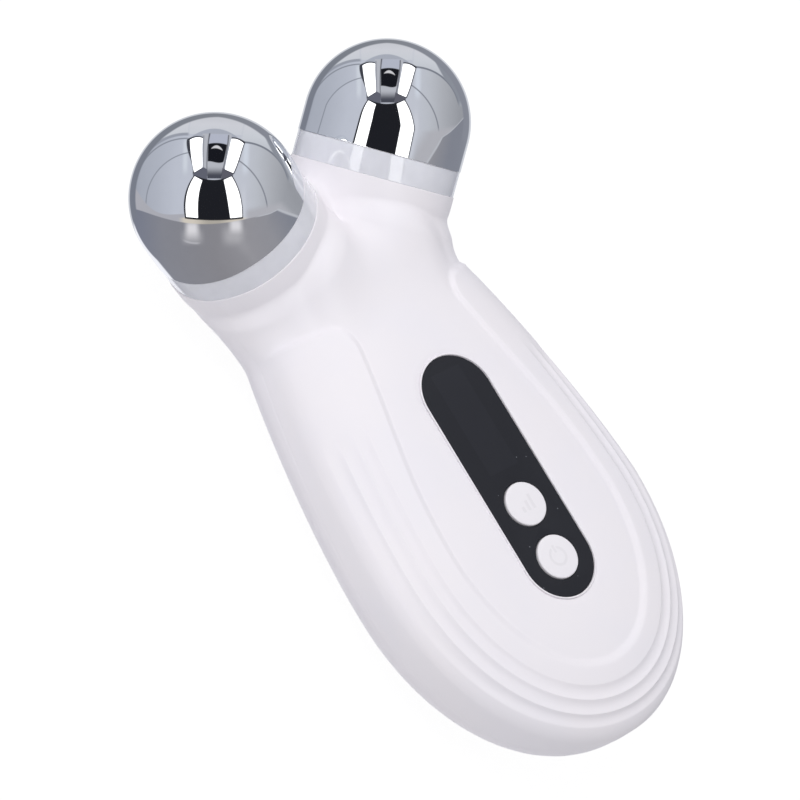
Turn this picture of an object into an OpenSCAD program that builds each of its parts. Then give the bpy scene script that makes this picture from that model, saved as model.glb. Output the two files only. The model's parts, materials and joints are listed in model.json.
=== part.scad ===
// Hand-held facial toning device: an egg-shaped grip whose neck forks into two short horns.
// Each horn carries a light ring and a domed electrode; two sprung buttons sit in a dark panel.
//
// Design frame: x to the right, y from the tail towards the electrodes, z out of the panel,
// with the origin at the middle of the panel's face. Each node is shifted by seat() so that the
// device lies on its back with the origin under the middle of its bounding box.

/* [Grip] */
// Half of the grip's greatest breadth
half_w = 28.39; // [28:0.01:29]
// Length from the widest place to the tail
tail_len = 37.38; // [37:0.01:38]
// Length over which the egg would close again on the electrode side
head_len = 85.73; // [85:0.01:87]
// Place of the greatest breadth, along the grip
belly_y = -8; // [-9:0.5:-7]
// Squareness of the tail in plan, 2 is an ellipse
tail_pow = 2.04; // [2:0.01:2.1]
// Squareness of the head side in plan
head_pow = 1.58; // [1.55:0.01:1.65]
// Height of the widest line, seen in section
mid_z = -10.41; // [-11:0.01:-10]
// Drop of the widest line for each millimetre towards the head
mid_lean = 0.092; // [0.07:0.001:0.1]
// Height at which the crown of the front would peak
crown_z = 0.6; // [0.5:0.1:0.8]
// Depth at which the belly of the back would peak
belly_z = -28.1; // [-28.5:0.1:-28]
// Squareness of the front in section
front_pow = 2.8; // [2.6:0.1:3]
// Squareness of the back in section
back_pow = 2.5; // [2.3:0.1:2.7]
// Height of the flat that holds the panel
flat_z = 0.3; // [0.2:0.05:0.4]
// Height of the flat that the device rests on
rest_z = -27.5; // [-27.7:0.1:-27.3]
// Wall thickness of both housings
wall = 2; // [1.8:0.1:2.2]
// Height of the parting line along the grip
seam_z = -13.5; // [-14:0.5:-13]

/* [Raised band and flutes] */
// Height of the raised band over the middle of the front
band_step = 0.6; // [0.4:0.05:0.8]
// Distance from the outline to the band's inner edge, halfway up the grip
band_inset = 10.15; // [9.9:0.05:10.3]
// How much farther in the edge lies at the tail
band_tail_shift = 1.3; // [1:0.1:1.5]
// How much farther in the edge lies at the neck
band_neck_shift = 1.6; // [1.2:0.1:1.8]
// Where the band ends on the neck
band_top = 35.55; // [35:0.05:36]
// Corner radius of the band's ends
band_round = 7.2; // [6:0.1:7.5]
// Width of the slope at the band's inner edge
band_slope = 1.3; // [1:0.1:1.6]
// Depth of the flutes round the edge
flute_depth = 0.34; // [0.2:0.02:0.4]
// Where the flutes have faded out towards the neck
flute_end = 20; // [16:1:22]

/* [Electrodes] */
// Radius of an electrode's dome
dome_r = 14; // [13.8:0.05:14.1]
// Distance of a dome's centre from the middle plane
dome_x = 19.44; // [19.3:0.01:19.6]
// Distance of the dome centres along the grip
dome_y = 62.24; // [62:0.01:62.5]
// Height of the dome centres
dome_z = -3.44; // [-3.6:0.01:-3.3]
// Sideways splay of each horn
splay = 29.7; // [29:0.1:30.5]
// Forward pitch of both horns
pitch = 38.44; // [38:0.01:39]
// Length of the straight skirt behind a dome's centre
skirt = 4.87; // [4.5:0.01:5.2]
// Length of the light ring that shows
ring_len = 4.26; // [4:0.01:4.5]
// Outer radius of the light ring
ring_r = 13.9; // [13.7:0.05:14]
// Wall of the electrode
dome_wall = 1.2; // [1:0.1:1.3]
// Radius of the horn's mouth
horn_r = 14.03; // [13.9:0.01:14.1]

/* [Panel and buttons] */
// Length of the panel
panel_len = 44.8; // [44:0.2:45.4]
// Width of the panel
panel_w = 13.87; // [13.5:0.01:14.2]
// Thickness of the panel
panel_t = 1.2; // [1:0.1:1.2]
// Radius of a button
button_r = 3.81; // [3.6:0.01:3.9]
// Place of the mode button along the panel
mode_y = -5.43; // [-5.6:0.01:-5.2]
// Distance between the buttons
button_pitch = 10; // [9.6:0.1:10.4]
// How far a button stands out of the panel
button_rise = 0.45; // [0.3:0.05:0.6]
// Gap around a button
button_gap = 0.12; // [0.1:0.01:0.2]
// Travel of a button
button_travel = 0.5; // [0.3:0.05:0.5]

/* [Inside] */
// Thickness of the main board
board_t = 1; // [0.8:0.1:1]
// Battery size along x
battery_w = 20; // [16:1:20]
// Battery size along y
battery_len = 32; // [26:1:32]
// Battery thickness
battery_t = 7.5; // [6:0.5:7.5]
// Height of the charging socket's middle
socket_z = -16.6; // [-16.8:0.1:-16.4]
// Diameter of an inner lead
lead_d = 1; // [0.8:0.1:1.2]

/* [Hidden] */
$fn = 64;

// Distance from the dome's centre back to the horn's mouth
ring_foot = skirt + ring_len;
// The right horn's own axes: along it out of the body, away from the middle, towards the back
horn_axis = [sin(splay), cos(splay) * cos(pitch), cos(splay) * sin(pitch)];
horn_side = [cos(splay), -sin(splay) * cos(pitch), -sin(splay) * sin(pitch)];
horn_back = [0, sin(pitch), -cos(pitch)];
dome_centre = [dome_x, dome_y, dome_z];
mouth_centre = dome_centre - ring_foot * horn_axis;
power_y = mode_y - button_pitch;
centre_y = (dome_y + dome_r + belly_y - tail_len) / 2;

// Blending of the grip into the horns
grip_blend = 8.46;
fork_blend = 5;
blend_fade = 7;
grip_clip = 6.8;
clip_round = 5.5;
grip_end = 44;
horn_end = 11;
flat_round = 0.8;
rest_round = 0.4;

// Insets of the crests between the flutes, and how far in they all lie at the tail
crests = [6.85, 4.65, 2.75, 0.85];
crest_tail_shift = 1.05;
flute_fade = 10;
band_bend = 28;
relief_low = -12;
relief_fade = 6;

// Grid of the housing skins: fan around the tail, parallel sections, then the neck
fan_steps = 16;
section_y = [belly_y, -3, 2, 7, 12, 16, 20, 24, 27.5, 30.5, 33, 34.6, 35.4, 36.2, 38];
neck_y = section_y[len(section_y) - 1];
neck_steps = 10;
horn_steps = 3;
rear_steps = 9;
centre_shares = [0, 0.4, 0.75];
// Columns of the front skin: an inset, and the shares of the slope's inset and the crests' shift
skin_columns = [[0.6, 1, 0], [0, 1, 0], [-0.6, 1, 0], [8.2, 0, 1], [6.85, 0, 1], [5.75, 0, 1],
    [4.65, 0, 1], [3.7, 0, 1], [2.75, 0, 1], [1.8, 0, 1], [0.85, 0, 1], [0.34, 0, 0.4], [0, 0, 0]];
least_angle = 5;
ray_reach = 60;
ray_halvings = 22;
gradient_step = 0.02;

// Levels below the panel, from the front inwards
board_z = -8.4;
panel_fit = 0.05;
pad_z = -3;
pad_rim = 2;
flange_r = 4.7;
flange_t = 0.85;
flange_gap = 0.15;
stem_r = 1.6;
switch_w = 6;
switch_t = 3;
switch_z = board_z + switch_t;
plunger_r = 1.7;
plunger_z = switch_z + 0.8;
plunger_len = 1.9;
screen_w = 6.4;
screen_len = 19;
screen_y = 10.6;
board_w = 34;
board_tail = -34;
board_head = 24;
board_round = 9;
under_board = board_z - board_t;
screw_places = [[13, -25], [-13, -25], [13, 18], [-13, 18]];
hook_places = [[23.4, -12], [23.3, 1]];

// The battery lies on the back, the charging socket looks out of the tail
battery_y = -8;
battery_z = -24.4;
battery_top = battery_z + battery_t;
pad_t = 0.5;
socket_w = 8.94;
socket_t = 3.26;
socket_len = 7.3;
socket_mouth = -43;
charge_z = socket_z - socket_t / 2;
charge_w = 13;
charge_tail = -38.2;
charge_head = -28;

// Levels inside a horn, measured from the dome's centre
lip_z = -2.5;
shelf_z = -8.6;
ring_board_t = 0.8;
boss_z = -7.5;
tab_t = 0.3;
post_r = 3;
screw_r = 1.2;
led_count = 8;
lead_steps = 12;
lead_sides = 8;

// --------------------------------------------------------------------- blending and profiles

function soft_min(a, b, k) =
    let (h = max(k - abs(a - b), 0) / k)
    min(a, b) - h * h * k / 4;

function soft_max(a, b, k) = -soft_min(-a, -b, k);

function ease(u) =
    let (c = min(max(u, 0), 1))
    c * c * (3 - 2 * c);

function unit(v) = v / norm(v);

// Plan of the grip: below 1 inside the egg, 1 on its outline
function egg_len(y) = y < belly_y ? tail_len : head_len;
function egg_pow(y) = y < belly_y ? tail_pow : head_pow;
function egg(x, y) =
    let (m = egg_pow(y))
    pow(pow(abs(x) / half_w, m) + pow(abs(y - belly_y) / egg_len(y), m), 1 / m);

function widest_z(y) = mid_z - mid_lean * max(y - belly_y, 0);

// Signed depth of a point in the grip: negative inside
function grip(p) =
    let (
        mid = widest_z(p.y),
        w = p.z - mid,
        n = w > 0 ? front_pow : back_pow,
        h = w > 0 ? crown_z - mid : mid - belly_z,
        rho = pow(pow(egg(p.x, p.y), n) + pow(abs(w) / h, n), 1 / n),
        fronted = soft_max((rho - 1) * h, p.z - flat_z, flat_round),
        rested = soft_max(fronted, rest_z - p.z, rest_round)
    )
    soft_max(soft_max(rested, grip_clip - below_mouth(p), clip_round), p.y - grip_end, clip_round);

// Distance below the plane of the right horn's mouth
function below_mouth(p) = -((p - mouth_centre) * horn_axis);

function horn(p) =
    let (
        v = p - dome_centre,
        s = -(v * horn_axis),
        c = min(s, horn_end)
    )
    sqrt(max(v * v - s * s, 0) + (s - c) * (s - c)) - horn_r;

// The skin of the closed housing is where this is zero
function skin(p) =
    let (
        q = [abs(p.x), p.y, p.z],
        k = grip_blend * ease(below_mouth(q) / blend_fade) + 0.01,
        fork = soft_min(horn(q), horn([-q.x, q.y, q.z]), fork_blend)
    )
    soft_min(grip(q), fork, k);

function skin_normal(p) =
    let (
        e = gradient_step,
        g = [for (i = [0:2])
            let (d = [i == 0 ? e : 0, i == 1 ? e : 0, i == 2 ? e : 0])
            skin(p + d) - skin(p - d)]
    )
    unit(g);

// Distance from a point to the outline, seen in plan
function outline_inset(x, y) =
    let (
        m = egg_pow(y),
        l = egg_len(y),
        r = max(egg(x, y), 0.001),
        gx = pow(abs(x) / half_w, m - 1) / half_w,
        gy = pow(abs(y - belly_y) / l, m - 1) / l,
        g = norm([gx, gy]) * pow(r, 1 - m)
    )
    (1 - r) / max(g, 0.001);

// 1 at the tail, 0 at the sides and beyond them
function tail_share(x, y) = max(belly_y - y, 0) / (tail_len * max(egg(x, y), 0.001));

function crest_shift(x, y) = crest_tail_shift * pow(tail_share(x, y), 5);

// Inset of the middle of the slope at the band's inner edge
function slope_inset(x, y) =
    band_inset + band_tail_shift * pow(tail_share(x, y), 1.5) + band_neck_shift * ease(y / band_bend);

// One flute between two crests: nothing at the crests, flute_depth in its middle
function flute(q, i) =
    let (u = (crests[i] - q) / (crests[i] - crests[i + 1]))
    u < 0 || u > 1 ? 0 : flute_depth * (1 - (2 * u - 1) * (2 * u - 1));

function add(list, i = 0) = i < len(list) ? list[i] + add(list, i + 1) : 0;

// Height of the moulded relief over the plain skin
function relief(p) =
    let (
        q = outline_inset(p.x, p.y),
        side = max(band_round - (slope_inset(p.x, p.y) - q), 0),
        end = max(band_round - (band_top - p.y), 0),
        within = band_round - norm([side, end]),
        flutes = add([for (i = [0:len(crests) - 2]) flute(q - crest_shift(p.x, p.y), i)])
    )
    (band_step * ease(within / band_slope + 0.5) - flutes * ease((flute_end - p.y) / flute_fade))
    * ease((p.z - relief_low) / relief_fade);

// --------------------------------------------------------------------- sections of the skin

// A section is [centre, outward direction, upward direction, share of the way up the neck]
function bezier(a, b, c, d, u) =
    a * pow(1 - u, 3) + 3 * b * pow(1 - u, 2) * u + 3 * c * (1 - u) * u * u + d * pow(u, 3);

function neck_section(u) =
    let (
        foot = [0, neck_y, seam_z],
        s = bezier(foot, foot + [0, 5, 0], mouth_centre - 7 * horn_axis, mouth_centre, u),
        n = unit([0, 1, 0] * (1 - ease(u)) + horn_axis * ease(u)),
        e1 = unit(cross(n, [0, 0, 1]))
    )
    [s, e1, cross(e1, n), u];

function section_point(s, u, v) = s[0] + u * s[1] + v * s[2];

// The point of a section that lies on the middle plane, v above its centre
function middle_u(s, v) = -(s[0].x + v * s[2].x) / s[1].x;
function middle_point(s, v) = section_point(s, middle_u(s, v), v);

// Where the fork opens: the last section that still meets the middle plane
fork_tries = [for (v = [0:0.25:9]) v];
function deepest(s) = min([for (v = fork_tries) skin(middle_point(s, v))]);
function find_fork(lo, hi, n) =
    let (m = (lo + hi) / 2)
    n == 0 ? m : deepest(neck_section(m)) < 0 ? find_fork(m, hi, n - 1) : find_fork(lo, m, n - 1);
fork_u = find_fork(0.5, 1, 16);
fork_section = neck_section(fork_u);
fork_v = [for (v = fork_tries)
    if (skin(middle_point(fork_section, v)) == deepest(fork_section)) v][0];
fork_angle = atan2(fork_v, middle_u(fork_section, fork_v));

function find_middle(s, lo, hi, n) =
    let (m = (lo + hi) / 2)
    n == 0 ? m : skin(middle_point(s, m)) < 0 ? find_middle(s, m, hi, n - 1)
        : find_middle(s, lo, m, n - 1);

// Angle in a section at which the skin meets the middle plane, in front (1) or behind (-1)
function middle_angle(s, way) =
    s[3] <= 0 ? 90 * way
    : s[3] >= fork_u - 0.0001 ? (way > 0 ? fork_angle : fork_angle - 360)
    : let (v = find_middle(s, fork_v * s[3] / fork_u, 26 * way, ray_halvings))
        let (a = atan2(v, middle_u(s, v)))
        way > 0 ? a : (a > 0 ? a - 360 : a);

fan = [for (i = [0:fan_steps - 1])
    let (a = -90 + 90 * i / fan_steps)
    [[0, belly_y, seam_z], [cos(a), sin(a), 0], [0, 0, 1], -1]];
parallels = [for (y = section_y) [[0, y, seam_z], [1, 0, 0], [0, 0, 1], 0]];
neck = [for (i = [1:neck_steps])
    let (t = 1 - i / neck_steps)
    neck_section(fork_u * (1 - t * t))];
horns = [for (i = [1:horn_steps]) neck_section(fork_u + (1 - fork_u) * i / horn_steps)];
sections = concat(fan, parallels, neck, horns);
last_section = len(sections) - 1;
fork_row = fan_steps + len(parallels) + neck_steps - 1;

// Distance from a section's centre to the outline in plan
function outline_reach(s) =
    s[3] < 0 ? 1 / egg(s[1].x, belly_y + s[1].y)
    : let (m = egg_pow(s[0].y))
        half_w * pow(1 - pow((s[0].y - belly_y) / egg_len(s[0].y), m), 1 / m);

// Angle of the crown at a distance r from a plan section's centre
function crown_angle(s, r) =
    let (
        p = section_point(s, r, 0),
        mid = widest_z(p.y),
        e = min(egg(p.x, p.y), 1),
        z = mid + (crown_z - mid) * pow(1 - pow(e, front_pow), 1 / front_pow)
    )
    max(atan2(z - seam_z, r), least_angle);

// How far inside a column's line a point of the plan lies
function inside_line(p, column) =
    outline_inset(p.x, p.y) - column * [1, slope_inset(p.x, p.y), crest_shift(p.x, p.y)];

function find_line(s, column, lo, hi, n) =
    let (m = (lo + hi) / 2)
    n == 0 ? m
    : inside_line(section_point(s, m, 0), column) > 0 ? find_line(s, column, m, hi, n - 1)
    : find_line(s, column, lo, m, n - 1);

function plan_angles(s) =
    let (
        reach = outline_reach(s),
        lines = [for (column = skin_columns) find_line(s, column, 0, reach, ray_halvings)]
    )
    concat(
        [for (c = centre_shares) crown_angle(s, c * lines[0])],
        [for (r = lines) crown_angle(s, r)],
        [0]);

neck_angles = plan_angles(parallels[len(parallels) - 1]);
front_last = len(neck_angles) - 1;

function front_angles(s) =
    s[3] <= 0 ? plan_angles(s)
    : let (top = middle_angle(s, 1))
        [for (j = [0:front_last])
            let (even = 1 - j / front_last, grown = neck_angles[j] / 90)
            top * (grown + (even - grown) * ease(s[3]))];

function rear_angles(s) =
    let (low = middle_angle(s, -1))
    [for (j = [0:rear_steps]) low * j / rear_steps];

function reach_limit(s, d) = d.x < -0.0001 ? min(ray_reach, -s[0].x / d.x) : ray_reach;

function find_skin(o, d, lo, hi, n) =
    let (m = (lo + hi) / 2)
    n == 0 ? m : skin(o + d * m) < 0 ? find_skin(o, d, m, hi, n - 1) : find_skin(o, d, lo, m, n - 1);

function on_middle(row, edge) = edge && row <= fork_row;

function base_point(row, angle, edge) =
    let (
        s = sections[row],
        d = cos(angle) * s[1] + sin(angle) * s[2],
        p = s[0] + d * find_skin(s[0], d, 0, reach_limit(s, d), ray_halvings),
        flat = on_middle(row, edge) || row == 0
    )
    flat ? [0, p.y, p.z] : p;

// In the mouth's own plane the wall is measured along that plane
function offset_normal(row, p, edge) =
    let (n = skin_normal(p))
    row == last_section ? unit(n - (n * horn_axis) * horn_axis)
    : on_middle(row, edge) || row == 0 ? unit([0, n.y, n.z]) : n;

function outer_row(row, base, edge_column) =
    [for (j = [0:len(base) - 1])
        let (n = offset_normal(row, base[j], j == edge_column))
        row == last_section ? base[j] : base[j] + n * relief(base[j])];

function inner_row(row, base, edge_column) =
    [for (j = [0:len(base) - 1])
        base[j] - wall * offset_normal(row, base[j], j == edge_column)];

// --------------------------------------------------------------------- housing shells

// Two triangles between neighbouring rows a and b, one where a fan's rows meet in a pole
function quad(a0, a1, b1, b0, pole_first, pole_last) =
    pole_first ? [[a0, a1, b1]]
    : pole_last ? [[a0, a1, b0]]
    : [[a0, a1, b1], [a0, b1, b0]];

function turned(faces, way) = way > 0 ? faces : [for (f = faces) [f[2], f[1], f[0]]];

// Closed half of a housing on one side; pole is the column on the middle plane
module shell(columns, pole, way) {
    rows = last_section + 1;
    last = columns - 1;
    bases = [for (i = [0:last_section])
        let (angles = way > 0 ? front_angles(sections[i]) : rear_angles(sections[i]))
        [for (j = [0:last]) base_point(i, angles[j], j == pole)]];
    outer = [for (i = [0:last_section]) each outer_row(i, bases[i], pole)];
    inner = [for (i = [0:last_section]) each inner_row(i, bases[i], pole)];
    right = concat(outer, inner);
    left = [for (p = right) [-p.x, p.y, p.z]];
    count = rows * columns;
    seam = pole == 0 ? last : 0;
    skin_faces = [for (i = [0:last_section - 1], j = [0:last - 1])
        each quad(i * columns + j, i * columns + j + 1, (i + 1) * columns + j + 1,
            (i + 1) * columns + j, i < fan_steps && j == pole, i < fan_steps && j + 1 == pole)];
    lining_faces = [for (f = skin_faces) [f[2] + count, f[1] + count, f[0] + count]];
    seam_faces = [for (i = [0:last_section - 1])
        each turned(quad(i * columns + seam, i * columns + seam + count,
            (i + 1) * columns + seam + count, (i + 1) * columns + seam, false, false),
            seam == last ? 1 : -1)];
    fork_faces = [for (i = [fork_row:last_section - 1])
        each turned(quad(i * columns + pole, i * columns + pole + count,
            (i + 1) * columns + pole + count, (i + 1) * columns + pole, false, false),
            pole == last ? 1 : -1)];
    mouth_faces = [for (j = [0:last - 1])
        let (a = last_section * columns + j)
        each quad(a, a + 1, a + 1 + count, a + count, false, false)];
    other = concat(skin_faces, lining_faces, seam_faces, fork_faces, mouth_faces);
    half = [for (f = other) [f[2], f[1], f[0]]];
    across = [for (f = other) [for (k = f) k + 2 * count]];
    polyhedron(points = concat(right, left), faces = concat(half, across));
}

module seat() {
    translate([0, -centre_y, -rest_z]) children();
}

module on_right() {
    seat() translate(dome_centre) rotate([pitch - 90, 0, 0]) rotate([0, splay, 0]) children();
}

module on_left() {
    seat() mirror([1, 0, 0]) translate(dome_centre) rotate([pitch - 90, 0, 0])
        rotate([0, splay, 0]) children();
}

// Stadium with its long axis along y
module stadium(length, width) {
    square([width, length - width], center = true);
    for (y = [-1, 1]) translate([0, y * (length - width) / 2]) circle(d = width);
}

module rounded(length, width, r) {
    square([width - 2 * r, length], center = true);
    square([width, length - 2 * r], center = true);
    for (x = [-1, 1], y = [-1, 1])
        translate([x * (width / 2 - r), y * (length / 2 - r)]) circle(r);
}

// Plate between two heights, cut from the plan that follows
module plate(z0, z1) {
    translate([0, 0, z0]) linear_extrude(z1 - z0) children();
}

// ---------------------------------------------------------------------------- housings

module panel_pad() {
    plate(pad_z, -1) stadium(panel_len + 2 * pad_rim, panel_w + 2 * pad_rim);
}

module board_bosses() {
    for (p = screw_places) translate([p.x, p.y, board_z]) difference() {
        cylinder(r = 2.2, h = -2.2 - board_z);
        translate([0, 0, -0.01]) cylinder(r = 0.85, h = 4.5);
    }
}

module snap_hooks() {
    for (p = hook_places, m = [0, 1]) mirror([m, 0, 0]) translate([p.x, p.y, -16.4]) {
        translate([0, -3, 0]) cube([1.3, 6, 11.6]);
        translate([1, -2, 0]) cube([0.9, 4, 1.1]);
    }
}

module panel_cuts() {
    plate(-panel_t, 4) stadium(panel_len + 2 * panel_fit, panel_w + 2 * panel_fit);
    for (y = [mode_y, power_y]) translate([0, y, -5]) cylinder(r = button_r + button_gap, h = 6);
    translate([0, screen_y, 0])
        plate(-5, 1) square([screen_w + 0.4, screen_len + 0.4], center = true);
}

module front_housing() {
    color([0.93, 0.92, 0.94]) seat() difference() {
        union() {
            shell(front_last + 1, 0, 1);
            panel_pad();
            board_bosses();
            snap_hooks();
        }
        panel_cuts();
    }
}

module battery_ribs() {
    for (y = [-20, -8, 4]) translate([-9, y - 0.6, -26.2]) cube([18, 1.2, 26.2 + battery_z - pad_t]);
}

module charge_ribs() {
    for (x = [-5, 5]) translate([x, 0, 0]) rotate([90, 0, 90]) linear_extrude(1.2, center = true)
        polygon([[charge_tail + 0.5, charge_z - 1], [charge_tail + 0.5, -21.7],
            [charge_head, -25.3], [charge_head, charge_z - 1]]);
}

module socket_slot() {
    translate([0, -40, socket_z]) rotate([90, 0, 0]) linear_extrude(8)
        rotate([0, 0, 90]) stadium(socket_w + 0.46, socket_t + 0.46);
}

module hook_pockets() {
    for (p = hook_places, m = [0, 1]) mirror([m, 0, 0])
        translate([p.x - 0.5, p.y - 2.5, -16.8]) cube([2.7, 5, 1.8]);
}

module rear_housing() {
    color([0.93, 0.92, 0.94]) seat() difference() {
        union() {
            shell(rear_steps + 1, rear_steps, -1);
            battery_ribs();
            charge_ribs();
        }
        socket_slot();
        hook_pockets();
    }
}

// ------------------------------------------------------------------- panel and buttons

module control_panel() {
    color([0.17, 0.18, 0.2]) seat() plate(-panel_t, 0) difference() {
        stadium(panel_len, panel_w);
        for (y = [mode_y, power_y]) translate([0, y]) circle(button_r + button_gap);
    }
}

module button_at(y) {
    top = pad_z - flange_gap;
    translate([0, y, 0]) {
        plate(top, button_rise) circle(button_r);
        plate(top - flange_t, top) circle(flange_r);
        plate(plunger_z, top - flange_t) circle(stem_r);
    }
}

module mode_button() {
    color([0.95, 0.95, 0.96]) seat() button_at(mode_y);
}

module power_button() {
    color([0.95, 0.95, 0.96]) seat() button_at(power_y);
}

module switch_at(y) {
    translate([0, y, 0]) difference() {
        plate(board_z, switch_z) square(switch_w, center = true);
        plate(switch_z - 2, switch_z + 1) circle(plunger_r + 0.08);
    }
}

module mode_switch() {
    color([0.2, 0.2, 0.21]) seat() switch_at(mode_y);
}

module power_switch() {
    color([0.2, 0.2, 0.21]) seat() switch_at(power_y);
}

module plunger_at(y) {
    translate([0, y, 0]) plate(plunger_z - plunger_len, plunger_z) circle(plunger_r);
}

module mode_switch_plunger() {
    color([0.75, 0.73, 0.68]) seat() plunger_at(mode_y);
}

module power_switch_plunger() {
    color([0.75, 0.73, 0.68]) seat() plunger_at(power_y);
}

// ------------------------------------------------------------------- main board

module display_module() {
    color([0.1, 0.1, 0.12]) seat() translate([0, screen_y, 0]) {
        plate(board_z, pad_z - 0.2) square([9, screen_len + 2], center = true);
        plate(pad_z - 0.2, -panel_t - 0.1) square([screen_w, screen_len], center = true);
    }
}

module main_board() {
    color([0.1, 0.35, 0.2]) seat() translate([0, (board_tail + board_head) / 2, 0])
        plate(under_board, board_z) difference() {
            rounded(board_head - board_tail, board_w, board_round);
            for (p = screw_places) translate([p.x, p.y - (board_tail + board_head) / 2]) circle(1);
        }
}

module board_screws() {
    color([0.7, 0.7, 0.72]) seat() for (p = screw_places) translate([p.x, p.y, 0]) {
        plate(under_board - 1.2, under_board) circle(1.7);
        plate(under_board, board_z + 4) circle(0.8);
    }
}

module boost_transformer() {
    color([0.25, 0.22, 0.2]) seat() translate([-10, 2, 0]) {
        plate(under_board - 1.2, under_board) square([9, 9], center = true);
        plate(under_board - 4.4, under_board - 1.2) circle(3.2);
        plate(under_board - 5.6, under_board - 4.4) square([9, 9], center = true);
    }
}

module controller_chip() {
    color([0.12, 0.12, 0.13]) seat() translate([9, 2, 0])
        plate(under_board - 1.2, under_board) square([7, 7], center = true);
}

module battery() {
    color([0.55, 0.6, 0.68]) seat() translate([0, battery_y, 0])
        plate(battery_z, battery_top) rounded(battery_len, battery_w, 1.5);
}

module battery_pad() {
    color([0.2, 0.2, 0.2]) seat() translate([0, battery_y, 0])
        plate(battery_z - pad_t, battery_z) square([battery_w - 4, battery_len - 4], center = true);
}

module charge_board() {
    color([0.1, 0.35, 0.2]) seat() translate([0, (charge_tail + charge_head) / 2, 0])
        plate(charge_z - 1, charge_z) square([charge_w, charge_head - charge_tail], center = true);
}

module usb_socket() {
    color([0.7, 0.7, 0.72]) seat() translate([0, socket_mouth, socket_z]) rotate([-90, 0, 0]) {
        difference() {
            linear_extrude(socket_len) rotate([0, 0, 90]) stadium(socket_w, socket_t);
            translate([0, 0, -1]) linear_extrude(socket_len)
                rotate([0, 0, 90]) stadium(socket_w - 0.6, socket_t - 0.6);
        }
        translate([0, 0, 1]) linear_extrude(socket_len - 1.5) square([6.7, 0.7], center = true);
    }
}

// ------------------------------------------------------------------- electrodes and rings

module electrode() {
    difference() {
        union() {
            difference() {
                union() {
                    sphere(dome_r);
                    translate([0, 0, -skirt]) cylinder(r = dome_r, h = skirt);
                }
                sphere(dome_r - dome_wall);
                translate([0, 0, -skirt - 20]) cylinder(r = dome_r - dome_wall, h = skirt + 20);
                translate([0, 0, -skirt - 20]) cylinder(r = dome_r + 1, h = 20);
            }
            translate([0, 0, lip_z + 2]) cylinder(r = post_r, h = dome_r - dome_wall - lip_z - 1.8);
        }
        translate([0, 0, lip_z]) cylinder(r = screw_r + 0.05, h = 10);
    }
}

module left_electrode() {
    color([0.8, 0.81, 0.83]) on_left() electrode();
}

module right_electrode() {
    color([0.8, 0.81, 0.83]) on_right() electrode();
}

// Clear collar: a spigot in the horn's mouth, a shelf for its board and a lip for the carrier
module light_ring() {
    rotate_extrude() polygon([[ring_r, -skirt], [ring_r, -ring_foot], [11.4, -ring_foot],
        [11.4, -ring_foot - 1.6], [9.6, -ring_foot - 1.6], [9.6, shelf_z], [11.5, shelf_z],
        [11.5, lip_z], [12.7, lip_z], [12.7, -skirt]]);
}

module left_light_ring() {
    color([0.75, 0.78, 0.82]) on_left() light_ring();
}

module right_light_ring() {
    color([0.75, 0.78, 0.82]) on_right() light_ring();
}

module ring_board() {
    plate(shelf_z, shelf_z + ring_board_t) difference() {
        circle(11.4);
        circle(5);
    }
}

module left_ring_board() {
    color([0.9, 0.9, 0.88]) on_left() ring_board();
}

module right_ring_board() {
    color([0.9, 0.9, 0.88]) on_right() ring_board();
}

module ring_leds() {
    for (i = [0:led_count - 1]) rotate(i * 360 / led_count)
        translate([10.1, 0, shelf_z + ring_board_t + 0.45]) cube([1.4, 2, 0.9], center = true);
}

module left_ring_leds() {
    color([0.95, 0.9, 0.6]) on_left() ring_leds();
}

module right_ring_leds() {
    color([0.95, 0.9, 0.6]) on_right() ring_leds();
}

module carrier() {
    difference() {
        union() {
            plate(lip_z, lip_z + 2) circle(12.6);
            plate(boss_z, lip_z) circle(4);
        }
        plate(boss_z - 1, lip_z + 3) circle(screw_r + 0.1);
    }
}

module left_electrode_carrier() {
    color([0.85, 0.85, 0.85]) on_left() carrier();
}

module right_electrode_carrier() {
    color([0.85, 0.85, 0.85]) on_right() carrier();
}

module electrode_screw() {
    plate(boss_z - tab_t - 1.6, boss_z - tab_t) circle(2.4);
    plate(boss_z - tab_t, lip_z + 8.5) circle(screw_r);
}

module electrode_screws() {
    color([0.7, 0.7, 0.72]) {
        on_left() electrode_screw();
        on_right() electrode_screw();
    }
}

module terminal() {
    plate(boss_z - tab_t, boss_z) difference() {
        union() {
            circle(3);
            translate([-3, 0]) square([3.4, 2.4], center = true);
        }
        circle(screw_r + 0.1);
    }
}

module left_terminal() {
    color([0.85, 0.8, 0.6]) on_left() terminal();
}

module right_terminal() {
    color([0.85, 0.8, 0.6]) on_right() terminal();
}

// ------------------------------------------------------------------- leads

function horn_point(p) = dome_centre + p.x * horn_side + p.y * horn_back + p.z * horn_axis;

// Round lead along a curve: it leaves a towards b and arrives at d from c
module lead(a, b, c, d) {
    path = [for (i = [0:lead_steps]) bezier(a, b, c, d, i / lead_steps)];
    points = [for (i = [0:lead_steps])
        let (
            t = i == 0 ? unit(b - a) : i == lead_steps ? unit(d - c) : unit(path[i + 1] - path[i - 1]),
            e1 = unit(cross(t, [1, 0, 0])),
            e2 = cross(t, e1)
        )
        for (k = [0:lead_sides - 1])
            path[i] + lead_d / 2 * (cos(360 * k / lead_sides) * e1 + sin(360 * k / lead_sides) * e2)];
    walls = [for (i = [0:lead_steps - 1], k = [0:lead_sides - 1])
        let (
            o = i * lead_sides + k,
            n = i * lead_sides + (k + 1) % lead_sides
        )
        each [[n, o, o + lead_sides], [n, o + lead_sides, n + lead_sides]]];
    ends = [[for (k = [0:lead_sides - 1]) k],
        [for (k = [lead_sides - 1:-1:0]) lead_steps * lead_sides + k]];
    polyhedron(points = points, faces = concat(walls, ends));
}

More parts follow.
